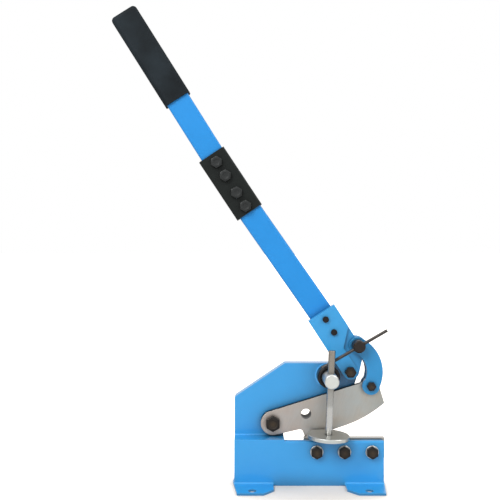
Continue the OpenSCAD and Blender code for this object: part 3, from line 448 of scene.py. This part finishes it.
# Lower blade bolts and washers
# Three black M10 hex bolts clamp the blade through the wall, each on a bright plain washer.
# Every hex head is forged, with a chamfered top and a shallow dish; every nut is chamfered on both sides.
class Tree:
    """Geometry node tree under construction: points and named sizes in, one finished mesh out."""

    def __init__(self, name, *sizes):
        self.tree = bpy.data.node_groups.new(name, "GeometryNodeTree")
        sockets = self.tree.interface
        sockets.new_socket("Geometry", in_out="INPUT", socket_type="NodeSocketGeometry")
        self.keys = {}
        for label in (*sizes, "Tilt", "Spin", "Material"):
            kind = "NodeSocketMaterial" if label == "Material" else "NodeSocketFloat"
            self.keys[label] = sockets.new_socket(label, in_out="INPUT", socket_type=kind).identifier
        sockets.new_socket("Geometry", in_out="OUTPUT", socket_type="NodeSocketGeometry")
        self.start, self.end = self.add("NodeGroupInput"), self.add("NodeGroupOutput")
        self.sizes = [self.start.outputs[label] for label in sizes]

    def add(self, kind, *values, **settings):
        return add_node(self.tree, kind, *values, **settings)

    def feed(self, socket, value):
        """Fills a socket with a number or links it to another socket."""
        if isinstance(value, (int, float)):
            socket.default_value = value
        else:
            self.tree.links.new(value, socket)

    def math(self, operation, *values):
        node = self.add("ShaderNodeMath", operation=operation)
        for socket, value in zip(node.inputs, values):
            self.feed(socket, value)
        return node.outputs[0]

    def choose(self, row, values):
        """Number picked by the row from a list of numbers and sockets."""
        node = self.add("GeometryNodeIndexSwitch", data_type="FLOAT")
        for _ in range(len(values) - 2):
            node.index_switch_items.new()
        for socket, value in zip(node.inputs, [row, *values]):
            self.feed(socket, value)
        return node.outputs[0]

    def lathe(self, rows, steps):
        """Grid whose columns go round the axis; gives its mesh, the angle, and the share of its height."""
        grid = self.add("GeometryNodeMeshGrid", Vertices_X=steps + 1)
        self.feed(grid.inputs["Vertices Y"], rows)
        where = self.add("ShaderNodeSeparateXYZ")
        wire(self.tree, (self.add("GeometryNodeInputPosition").outputs[0], where.inputs[0]))
        angle = self.math("MULTIPLY", self.math("ADD", where.outputs["X"], 0.5), 2 * math.pi)
        return grid.outputs["Mesh"], angle, self.math("ADD", where.outputs["Y"], 0.5)

    def wrap(self, mesh, angle, radius, height):
        """Moves the grid's points to that radius and height round the axis, and closes the seam."""
        point = self.add("ShaderNodeCombineXYZ")
        moved = self.add("GeometryNodeSetPosition")
        merged = self.add("GeometryNodeMergeByDistance", Distance=1e-6)
        wire(self.tree,
             (self.math("MULTIPLY", radius, self.math("COSINE", angle)), point.inputs["X"]),
             (self.math("MULTIPLY", radius, self.math("SINE", angle)), point.inputs["Y"]),
             (height, point.inputs["Z"]), (mesh, moved.inputs["Geometry"]),
             (point.outputs[0], moved.inputs["Position"]), (moved.outputs[0], merged.inputs["Geometry"]))
        return merged.outputs[0]

    def finish(self, *meshes):
        """Puts the joined meshes on every point of the input, tilted to front or back, in the material."""
        joined = self.add("GeometryNodeJoinGeometry")
        for mesh in meshes:
            wire(self.tree, (mesh, joined.inputs[0]))
        turn = self.add("ShaderNodeCombineXYZ")
        rotation = self.add("FunctionNodeEulerToRotation")
        placed = self.add("GeometryNodeInstanceOnPoints")
        real = self.add("GeometryNodeRealizeInstances")
        painted = self.add("GeometryNodeSetMaterial")
        wire(self.tree,
             (self.start.outputs["Tilt"], turn.inputs["X"]), (self.start.outputs["Spin"], turn.inputs["Y"]),
             (turn.outputs[0], rotation.inputs[0]), (self.start.outputs["Geometry"], placed.inputs["Points"]),
             (joined.outputs[0], placed.inputs["Instance"]), (rotation.outputs[0], placed.inputs["Rotation"]),
             (placed.outputs[0], real.inputs[0]), (real.outputs[0], painted.inputs["Geometry"]),
             (self.start.outputs["Material"], painted.inputs["Material"]),
             (painted.outputs[0], self.end.inputs[0]))


chamfer_circle, chamfer_slope = 0.475, 0.5


def hexagon(tree, angle, flats):
    """Radius of the hexagon's side at that angle, radius of its chamfer circle, and fall of its chamfer."""
    within = tree.math("SUBTRACT", tree.math("MODULO", angle, math.pi / 3), math.pi / 6)
    side = tree.math("DIVIDE", tree.math("MULTIPLY", flats, 0.5), tree.math("COSINE", within))
    circle = tree.math("MULTIPLY", flats, chamfer_circle)
    past = tree.math("MAXIMUM", tree.math("SUBTRACT", side, circle), 0.0)
    return side, circle, tree.math("MULTIPLY", past, chamfer_slope)


round_steps, thread_steps, rings_per_turn = 72, 40, 6.0

# Head of a bolt: nine rings from the underside over the chamfer into the dish, as shares of its sizes
bolt_tree = Tree("Hex bolts", "Flats", "Head", "Shank", "Length", "Plain", "Pitch")
flats, head, shank, length, plain, pitch = bolt_tree.sizes
calc = bolt_tree.math
mesh, angle, along = bolt_tree.lathe(9, round_steps)
row = calc("ROUND", calc("MULTIPLY", along, 8.0))
side, circle, fall = hexagon(bolt_tree, angle, flats)
radius = bolt_tree.choose(row, [
    calc("MULTIPLY", shank, 0.98), calc("MULTIPLY", side, 0.985), side, side, calc("MINIMUM", side, circle),
    calc("MULTIPLY", flats, 0.33), calc("MULTIPLY", flats, 0.29), calc("MULTIPLY", flats, 0.15), 0.0])
height = bolt_tree.choose(row, [
    0.0, 0.0, calc("MULTIPLY", head, 0.04), calc("SUBTRACT", head, fall), head, head,
    calc("MULTIPLY", head, 0.94), calc("MULTIPLY", head, 0.92), calc("MULTIPLY", head, 0.915)])
head_mesh = bolt_tree.wrap(mesh, angle, radius, height)

# The attribute "dish" is 1 in the middle of the head's top and 0 at its rim
dish = bolt_tree.add("GeometryNodeStoreNamedAttribute", data_type="FLOAT", domain="POINT", Name="dish")
point = bolt_tree.add("ShaderNodeSeparateXYZ")
wire(bolt_tree.tree, (head_mesh, dish.inputs["Geometry"]),
     (bolt_tree.add("GeometryNodeInputPosition").outputs[0], point.inputs[0]))
squares = calc("ADD", *(calc("MULTIPLY", point.outputs[key], point.outputs[key]) for key in "XY"))
inwards = calc("SUBTRACT", 1.0, calc("MULTIPLY", calc("DIVIDE", calc("SQRT", squares), flats), 2.0))
on_top = calc("GREATER_THAN", point.outputs["Z"], calc("MULTIPLY", head, 0.9))
wire(bolt_tree.tree, (calc("MULTIPLY", on_top, inwards), dish.inputs["Value"]))

# Shank of a bolt: plain at first, then a V thread half a pitch deep, with a chamfered end
rings = calc("ADD", calc("MULTIPLY", calc("DIVIDE", length, pitch), rings_per_turn), 4.0)
mesh, angle, along = bolt_tree.lathe(rings, thread_steps)
depth = calc("MULTIPLY", along, length)
turns = calc("ADD", calc("DIVIDE", depth, pitch), calc("DIVIDE", angle, 2 * math.pi))
wave = calc("MULTIPLY", calc("PINGPONG", turns, 0.5), 2.0)
cut = calc("MULTIPLY", calc("MULTIPLY", wave, pitch), 0.5)
crest = calc("SUBTRACT", shank, calc("MULTIPLY", cut, calc("GREATER_THAN", depth, plain)))
taper = calc("ADD", calc("SUBTRACT", length, depth), calc("MULTIPLY", shank, 0.8))
closed = calc("MULTIPLY", calc("MINIMUM", crest, taper), calc("LESS_THAN", along, 0.9999))
bolt_tree.finish(dish.outputs["Geometry"], bolt_tree.wrap(mesh, angle, closed, calc("MULTIPLY", depth, -1.0)))

nut_tree = Tree("Hex nuts", "Flats", "Bore", "Thick")
flats, bore, thick = nut_tree.sizes
calc = nut_tree.math
mesh, angle, along = nut_tree.lathe(9, round_steps)
row = calc("ROUND", calc("MULTIPLY", along, 8.0))
side, circle, fall = hexagon(nut_tree, angle, flats)
inner = calc("MINIMUM", side, circle)
wide, step = calc("MULTIPLY", bore, 1.12), calc("MULTIPLY", bore, 0.12)
radius = nut_tree.choose(row, [bore, wide, inner, side, side, inner, wide, bore, bore])
height = nut_tree.choose(row, [
    step, 0.0, 0.0, fall, calc("SUBTRACT", thick, fall), thick, thick, calc("SUBTRACT", thick, step), step])
nut_tree.finish(nut_tree.wrap(mesh, angle, radius, height))

washer_tree = Tree("Plain washers", "Outer", "Inner", "Thick")
outer, inner, thick = washer_tree.sizes
calc = washer_tree.math
mesh, angle, along = washer_tree.lathe(8, round_steps)
row = calc("ROUND", calc("MULTIPLY", along, 7.0))
chamfer = calc("MULTIPLY", thick, 0.2)
near, far = calc("ADD", inner, chamfer), calc("SUBTRACT", outer, chamfer)
top = calc("SUBTRACT", thick, chamfer)
radius = washer_tree.choose(row, [inner, near, far, outer, outer, far, inner, inner])
height = washer_tree.choose(row, [chamfer, 0.0, 0.0, chamfer, top, thick, thick, chamfer])
washer_tree.finish(washer_tree.wrap(mesh, angle, radius, height))


def middle(node):
    """Middle of a CAD node's box."""
    low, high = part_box(node)
    return (low + high) / 2


def fitted(tree, node, body, material, places=None, to_front=False, spin=0.0, **sizes):
    """Runs a tree at the middle of a CAD node or at places (x, z); the node's box gives seat and depth."""
    name, (low, high) = node.capitalize(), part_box(node)
    # A bolt reaches from its head to the back of its box; a nut or a washer fills its box
    if "Head" in sizes:
        seat, to_front = low.y + sizes["Head"], True
        sizes["Length"] = high.y - seat
    else:
        seat = high.y if to_front else low.y
        sizes["Thick"] = high.y - low.y
    seats = bpy.data.meshes.new(name + "_seats")
    seats.from_pydata([(x, seat, z) for x, z in places or [middle(node).xz]], [], [])
    piece = bpy.data.objects.new(name, seats)
    bpy.context.scene.collection.objects.link(piece)
    maker = piece.modifiers.new(tree.tree.name, "NODES")
    maker.node_group = tree.tree
    values = {**sizes, "Tilt": math.pi / 2 if to_front else -math.pi / 2, "Spin": spin, "Material": material}
    for label, value in values.items():
        maker[tree.keys[label]] = value
    return settle(piece, node, body, material, smooth=28)


def blackened(name, colour, rub_colour, rough=(0.38, 0.6), metal=0.6, dish_colour=None):
    """Oiled black oxide on steel, rubbed along the edges; a bolt head's dish can have a brown bloom."""
    material, tree = new_material(name)
    spot = add_node(tree, "ShaderNodeTexCoord")
    mottle = add_node(tree, "ShaderNodeTexNoise", Scale=160.0, Detail=4.0)
    fine = add_node(tree, "ShaderNodeTexNoise", Scale=700.0, Detail=2.0)
    edges = add_node(tree, "ShaderNodeGroup", node_tree=edge_group, Width=0.0007)
    shade = add_node(tree, "ShaderNodeMapRange", To_Min=0.7, To_Max=1.35)
    toned = add_node(tree, "ShaderNodeHueSaturation", Color=colour)
    rubbed = add_node(tree, "ShaderNodeMix", data_type="RGBA")
    rgba(rubbed, 1).default_value = rub_colour
    dish = add_node(tree, "ShaderNodeAttribute", attribute_name="dish")
    bloom = add_node(tree, "ShaderNodeMix", data_type="RGBA")
    rgba(bloom, 1).default_value = dish_colour or colour
    gloss = add_node(tree, "ShaderNodeMapRange", To_Min=rough[0], To_Max=rough[1])
    bump = add_node(tree, "ShaderNodeBump", Strength=0.15, Distance=0.0002)
    steel = add_node(tree, "ShaderNodeBsdfPrincipled", Metallic=metal)
    surface = add_node(tree, "ShaderNodeOutputMaterial")
    wire(tree,
         (spot.outputs["Object"], mottle.inputs["Vector"]), (spot.outputs["Object"], fine.inputs["Vector"]),
         (mottle.outputs["Fac"], shade.inputs["Value"]), (shade.outputs[0], toned.inputs["Value"]),
         (toned.outputs["Color"], rgba(bloom, 0)), (dish.outputs["Fac"], bloom.inputs["Factor"]),
         (rgba(bloom), rgba(rubbed, 0)), (edges.outputs["Mask"], rubbed.inputs["Factor"]),
         (mottle.outputs["Fac"], gloss.inputs["Value"]), (gloss.outputs[0], steel.inputs["Roughness"]),
         (fine.outputs["Fac"], bump.inputs["Height"]), (bump.outputs[0], steel.inputs["Normal"]),
         (steel.outputs[0], surface.inputs["Surface"]))
    # Painted shade in corners and gaps
    crevice_shaded(tree, rgba(rubbed), steel.inputs["Base Color"], 0.006)
    return material


bolt_black = blackened("Black bolt steel", (0.012, 0.0105, 0.0105, 1), (0.1, 0.09, 0.08, 1),
                       dish_colour=(0.058, 0.040, 0.024, 1))
bright_steel = ground_steel("Bright turned steel", (0.68, 0.68, 0.66, 1), (0.6, 0.6, 0.59, 1), 0.4, tint=0.15,
                            along=300.0, across=2600.0, depth=0.2)
point_up = math.radians(30)
m10 = {"Head": 0.0064, "Shank": 0.005, "Pitch": 0.0015}
washer_play = 0.00002
blade_bolt_pitch = 0.044
blade_bolt_x, blade_bolt_z = middle("lower_blade_bolts").xz
blade_bolts = [(blade_bolt_x + place * blade_bolt_pitch, blade_bolt_z) for place in (-1, 0, 1)]
fitted(bolt_tree, "lower_blade_bolts", "frame", bolt_black, blade_bolts, spin=point_up, Flats=0.017,
       Plain=0.01, **m10)
fitted(washer_tree, "lower_blade_washers", "frame", bright_steel, blade_bolts, to_front=True, Outer=0.0105,
       Inner=m10["Shank"] + washer_play)


# Blade pivot
# One M14 bolt through the upper blade and the rear plate, with a plain washer and a nut at the back.
# The upper blade swings on its smooth shank.
m14 = {"Head": 0.00896, "Shank": 0.007, "Pitch": 0.002}
pivot_flats = 0.0214
fitted(bolt_tree, "blade_pivot_bolt", "frame", bolt_black, spin=point_up, Flats=pivot_flats, Plain=0.031,
       **m14)
fitted(washer_tree, "blade_pivot_washer", "frame", bright_steel, Outer=0.014,
       Inner=m14["Shank"] + washer_play)
fitted(nut_tree, "blade_pivot_nut", "frame", bolt_black, Flats=pivot_flats, Bore=m14["Shank"])


# Upper blade
# The swinging blade is flame cut from plate, so its outline is dark, and ground bright on both faces.
# The grinding lines run across it; a hole near the pivot takes round bar.
def zoned(material, axis, start, end, stops):
    """Multiplies a finish by colours {share: colour} that follow one axis from start to end metres."""
    tree = material.node_tree
    spot = add_node(tree, "ShaderNodeTexCoord")
    parts = add_node(tree, "ShaderNodeSeparateXYZ")
    span = add_node(tree, "ShaderNodeMapRange", From_Min=start, From_Max=end)
    zones = add_node(tree, "ShaderNodeValToRGB")
    for _ in range(len(stops) - 2):
        zones.color_ramp.elements.new(0.5)
    for element, (share, colour) in zip(zones.color_ramp.elements, sorted(stops.items())):
        element.position = share
        element.color = (*colour, 1)
    toned = add_node(tree, "ShaderNodeMix", data_type="RGBA", blend_type="MULTIPLY", Factor=1.0)
    base = [node for node in tree.nodes if node.type == "BSDF_PRINCIPLED"][0].inputs["Base Color"]
    wire(tree, (spot.outputs["Object"], parts.inputs[0]), (parts.outputs[axis], span.inputs["Value"]),
         (span.outputs[0], zones.inputs["Fac"]), (base.links[0].from_socket, rgba(toned, 0)),
         (zones.outputs["Color"], rgba(toned, 1)), (rgba(toned), base))


upper_steel = ground_steel("Upper blade steel", (0.535, 0.515, 0.49, 1), (0.045, 0.042, 0.04, 1),
                           math.radians(-17.3), tint=0.7, along=1700.0, across=60.0)
# Along the blade the tone is warmer near the heel and darker towards the tip; the darkening is painted shade
zoned(upper_steel, "X", -0.06, 0.14, {0.1: (0.97, 0.88, 0.86), 0.45: (0.86, 0.87, 0.89),
                                      0.75: (0.89, 0.92, 0.93), 1.0: (0.71, 0.76, 0.77)})
dress("upper_blade", "moving_blade", upper_steel, 0.0003, segments=2)


# Lever plate, strap and screws
# A stepped steel plate carries the lever; it has a pocket for the front link and two screws into the tube.
# A flat strap behind the rear plate holds the other end of the lever's pivot bolt.
lever_blue = enamel("Lever blue enamel", (0.034, 0.312, 0.655, 1), (0.09, 0.40, 0.76, 1), edge_width=0.001,
                    depth=0.6)
dress("lever_plate", "lever", lever_blue, 0.0006)
dress("lever_back_strap", "lever", lever_blue, 0.0006)
lever_bolt_flats = 0.016
fitted(bolt_tree, "lever_pivot_bolt", "frame", bolt_black, Flats=lever_bolt_flats, Plain=0.04, **m10)
fitted(nut_tree, "lever_pivot_nut", "frame", bolt_black, Flats=lever_bolt_flats, Bore=m10["Shank"])
dress("lever_screws", "lever", bolt_black, 0.0006)


# Lever tubes and splice
# Two rectangular steel tubes, painted blue, butt together inside a black sleeve.
# Four black M10 bolts go through the sleeve and both tubes, with nuts at the back.
tube_blue = enamel("Tube blue enamel", (0.016, 0.252, 0.655, 1), (0.03, 0.27, 0.66, 1), edge_width=0.0016,
                   coat=0.05, shine=0.3)
dress("lower_tube", "lever", tube_blue, 0.0003, segments=2)
dress("upper_tube", "lever", tube_blue, 0.0003, segments=2)
sleeve_black = enamel("Sleeve black paint", (0.0095, 0.012, 0.011, 1), (0.04, 0.045, 0.047, 1), coat=0.0,
                      peel=0.12, shine=0.16)
dress("splice_sleeve", "lever", sleeve_black, 0.0008)
sleeve_bolt = blackened("Splice bolt steel", (0.018, 0.02, 0.02, 1), (0.15, 0.155, 0.15, 1), metal=0.5)
sleeve_lean = math.radians(33.55)
splice_x, splice_z = middle("splice_bolts").xz
inner_run, outer_run, splice_flats = 0.0165, 0.043, 0.017
splice_points = [(splice_x - run * math.sin(sleeve_lean), splice_z + run * math.cos(sleeve_lean))
                 for run in (-outer_run, -inner_run, inner_run, outer_run)]
fitted(bolt_tree, "splice_bolts", "lever", sleeve_bolt, splice_points, spin=point_up, Flats=splice_flats,
       Plain=0.024, **m10)
fitted(nut_tree, "splice_nuts", "lever", bolt_black, splice_points, Flats=splice_flats, Bore=m10["Shank"])


# Grip
# A dipped rubber grip, closed at its end, pulled over the upper tube.
# Its skin is matt with a fine pebble, and a little dusty along the corners.
def rubber(name, colour, edge_tone):
    """Matt rubber with a fine pebble, lighter where the edges are rubbed."""
    material, tree = new_material(name)
    spot = add_node(tree, "ShaderNodeTexCoord")
    pebble = add_node(tree, "ShaderNodeTexVoronoi", Scale=900.0)
    cloud = add_node(tree, "ShaderNodeTexNoise", Scale=24.0, Detail=5.0)
    edges = add_node(tree, "ShaderNodeGroup", node_tree=edge_group, Width=0.002)
    shade = add_node(tree, "ShaderNodeMapRange", From_Min=0.3, From_Max=0.7, To_Min=0.55, To_Max=1.55)
    toned = add_node(tree, "ShaderNodeHueSaturation", Color=colour)
    rubbed = add_node(tree, "ShaderNodeMix", data_type="RGBA")
    rgba(rubbed, 1).default_value = edge_tone
    gloss = add_node(tree, "ShaderNodeMapRange", To_Min=0.55, To_Max=0.75)
    bump = add_node(tree, "ShaderNodeBump", Strength=0.25, Distance=0.0003)
    skin = add_node(tree, "ShaderNodeBsdfPrincipled", Specular_IOR_Level=0.12)
    surface = add_node(tree, "ShaderNodeOutputMaterial")
    wire(tree,
         (spot.outputs["Object"], pebble.inputs["Vector"]), (spot.outputs["Object"], cloud.inputs["Vector"]),
         (cloud.outputs["Fac"], shade.inputs["Value"]), (shade.outputs[0], toned.inputs["Value"]),
         (toned.outputs["Color"], rgba(rubbed, 0)), (edges.outputs["Mask"], rubbed.inputs["Factor"]),
         (rgba(rubbed), skin.inputs["Base Color"]), (cloud.outputs["Fac"], gloss.inputs["Value"]),
         (gloss.outputs[0], skin.inputs["Roughness"]), (pebble.outputs["Distance"], bump.inputs["Height"]),
         (bump.outputs[0], skin.inputs["Normal"]), (skin.outputs[0], surface.inputs["Surface"]))
    return material


grip_rubber = rubber("Black grip rubber", (0.0115, 0.016, 0.0195, 1), (0.03, 0.034, 0.037, 1))
dress("handle_grip", "lever", grip_rubber, 0.0016, smooth=40)


# Links
# Two crescent plates, painted blue, hang from the lever's pin and pull the upper blade.
# The pin has a turned head at the back; an M8 bolt with a nut joins the links to the blade.
link_blue = enamel("Link blue enamel", (0.019, 0.245, 0.53, 1), (0.08, 0.35, 0.67, 1), edge_width=0.001,
                   reach=0.02, depth=0.85)
dress("front_link", "links", link_blue, 0.0008)
dress("rear_link", "links", link_blue, 0.0008)
dress("link_pivot_pin", "lever", bolt_black, 0.0004)
m8 = {"Head": 0.00512, "Shank": 0.004, "Pitch": 0.00125}
link_flats = 0.013
fitted(bolt_tree, "link_bolt", "links", bolt_black, Flats=link_flats, Plain=0.0266, **m8)
fitted(nut_tree, "link_nut", "links", bolt_black, Flats=link_flats, Bore=m8["Shank"])


# Clamp knob and tommy bar
# A round black knob screws on the link pin and locks the lever; the loose bar through it gives it leverage.
# Both are turned steel, blackened in oil and rubbed by the hand.
def turned(node, profile, place, steps=96):
    """Closed solid of a profile [(y, radius), ...] turned round the line along Y through place (x, z)."""
    points, rings, faces = [], [], []
    for y, radius in profile:
        count = steps if radius else 1
        rings.append([len(points) + step for step in range(count)])
        points += [(place[0] + radius * math.cos(2 * math.pi * step / steps), y,
                    place[1] + radius * math.sin(2 * math.pi * step / steps)) for step in range(count)]
    for near, far in zip(rings, rings[1:]):
        for step in range(steps):
            around = ((near, step), (near, step + 1), (far, step + 1), (far, step))
            faces.append(list(dict.fromkeys(ring[number % len(ring)] for ring, number in around)))
    mesh = bpy.data.meshes.new(node.capitalize())
    mesh.from_pydata(points, [], faces)
    shape = bmesh.new()
    shape.from_mesh(mesh)
    bmesh.ops.recalc_face_normals(shape, faces=shape.faces)
    shape.to_mesh(mesh)
    shape.free()
    piece = bpy.data.objects.new(node.capitalize(), mesh)
    bpy.context.scene.collection.objects.link(piece)
    return piece


def drill(piece, centre, direction, radius, length):
    """Bores a straight round hole into a piece."""
    mesh = bpy.data.meshes.new("Drill")
    shape = bmesh.new()
    lay = Vector(direction).to_track_quat("Z", "Y").to_matrix().to_4x4()
    lay.translation = centre
    bmesh.ops.create_cone(shape, cap_ends=True, segments=64, radius1=radius, radius2=radius, depth=length,
                          matrix=lay)
    shape.to_mesh(mesh)
    shape.free()
    bit = bpy.data.objects.new("Drill", mesh)
    bpy.context.scene.collection.objects.link(bit)
    hole = piece.modifiers.new("Hole", "BOOLEAN")
    hole.object, hole.solver = bit, "EXACT"
    plain_mesh(piece)
    bpy.data.objects.remove(bit)


knob_black = blackened("Knob steel", (0.026, 0.02, 0.017, 1), (0.1, 0.085, 0.075, 1), rough=(0.3, 0.5))
bar_black = blackened("Tommy bar steel", (0.05, 0.045, 0.042, 1), (0.16, 0.145, 0.135, 1), rough=(0.3, 0.45))
knob_front, knob_back = (corner.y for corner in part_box("clamp_knob"))
knob_radius, knob_chamfer, knob_ease = 0.0098, 0.0015, 0.0002
thread_radius, thread_gap = 0.00505, 0.0001
thread_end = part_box("link_pivot_pin")[0].y - thread_gap
knob_profile = [
    (knob_front, 0), (knob_front, knob_radius - knob_chamfer - knob_ease),
    (knob_front + knob_ease / 2, knob_radius - knob_chamfer),
    (knob_front + knob_chamfer - knob_ease / 2, knob_radius - knob_ease),
    (knob_front + knob_chamfer + knob_ease / 2, knob_radius), (knob_back - knob_ease, knob_radius),
    (knob_back, knob_radius - knob_ease), (knob_back, thread_radius), (thread_end, thread_radius),
    (thread_end, 0)]
knob_x, knob_z = middle("link_pivot_pin").xz
knob = turned("clamp_knob", knob_profile, (knob_x, knob_z))
tommy_rise, tommy_y = math.radians(30), middle("tommy_bar").y
tommy_hole_radius, tommy_hole_length = 0.00255, 0.04
drill(knob, (knob_x, tommy_y, knob_z), (math.cos(tommy_rise), 0, math.sin(tommy_rise)), tommy_hole_radius,
      tommy_hole_length)
settle(knob, "clamp_knob", "clamp", knob_black)
dress("tommy_bar", "tommy", bar_black, 0.0005)


# Hold-down arm
# A bright turned bar passes through the frame's boss, with a dark collar in front, a washer and nut behind.
# A headless screw in its side grips the rod.
turned_bright = ground_steel("Turned arm steel", (0.72, 0.73, 0.69, 1), (0.6, 0.61, 0.61, 1), tint=0.1,
                             along=1500.0, across=1500.0)
arm_x, arm_z = middle("hold_down_collar").xz
arm_front, arm_back = (corner.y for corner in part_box("hold_down_arm"))
arm_radius, arm_chamfer, arm_ease = 0.0115, 0.0015, 0.0001
stud_radius, stud_chamfer, running_gap = 0.008, 0.001, 0.0002
stud_start = plate_back - running_gap
arm_profile = [
    (arm_front, 0), (arm_front, arm_radius - arm_chamfer - arm_ease),
    (arm_front + arm_ease / 2, arm_radius - arm_chamfer + arm_ease / 2),
    (arm_front + arm_chamfer - arm_ease, arm_radius - arm_ease),
    (arm_front + arm_chamfer + arm_ease, arm_radius), (stud_start, arm_radius), (stud_start, stud_radius),
    (arm_back - stud_chamfer, stud_radius), (arm_back, stud_radius - stud_chamfer), (arm_back, 0)]
arm = turned("hold_down_arm", arm_profile, (arm_x, arm_z))
rod_lean, rod_y = math.radians(2.4), middle("hold_down_rod").y
rod_up = Vector((math.sin(rod_lean), 0, math.cos(rod_lean)))
rod_aside = Vector((math.cos(rod_lean), 0, -math.sin(rod_lean)))
rod_hole_radius, rod_hole_length = 0.00555, 0.05
screw_hole_radius, screw_hole_length = 0.00302, 0.023
arm_middle = Vector((arm_x, rod_y, arm_z))
drill(arm, arm_middle, rod_up, rod_hole_radius, rod_hole_length)
drill(arm, arm_middle + arm_radius * rod_aside, rod_aside, screw_hole_radius, screw_hole_length)
settle(arm, "hold_down_arm", "arm", turned_bright)
collar_black = blackened("Collar steel", (0.02, 0.018, 0.017, 1), (0.1, 0.09, 0.085, 1), rough=(0.3, 0.45))
dress("hold_down_collar", "arm", collar_black, 0.0004)
fitted(washer_tree, "hold_down_washer", "arm", bright_steel, Outer=0.016,
       Inner=stud_radius + washer_play)
fitted(nut_tree, "hold_down_nut", "arm", bolt_black, Flats=0.024, Bore=stud_radius)
dress("hold_down_set_screw", "arm", bolt_black, 0.0002, segments=2)


# Hold-down rod and disc
# A plain bright rod slides in the arm and carries the turned pressure disc on a riveted spigot.
# The rod's upper end is stained by handling.
rod_steel = ground_steel("Rod steel", (0.55, 0.55, 0.54, 1), (0.55, 0.55, 0.54, 1), tint=0.3, along=1400.0,
                         across=40.0, dull=0.6)
zoned(rod_steel, "Z", 0.08, 0.22, {0.33: (1.1, 1.1, 1.1), 0.37: (0.80, 0.80, 0.79), 0.68: (0.61, 0.56, 0.50)})
disc_steel = ground_steel("Disc steel", (0.64, 0.65, 0.63, 1), (0.47, 0.475, 0.45, 1), tint=0.6, along=120.0,
                          across=1500.0, dull=0.8)
dress("hold_down_rod", "presser", rod_steel, 0.0004)
dress("hold_down_disc", "presser", disc_steel, 0.0003, segments=2)
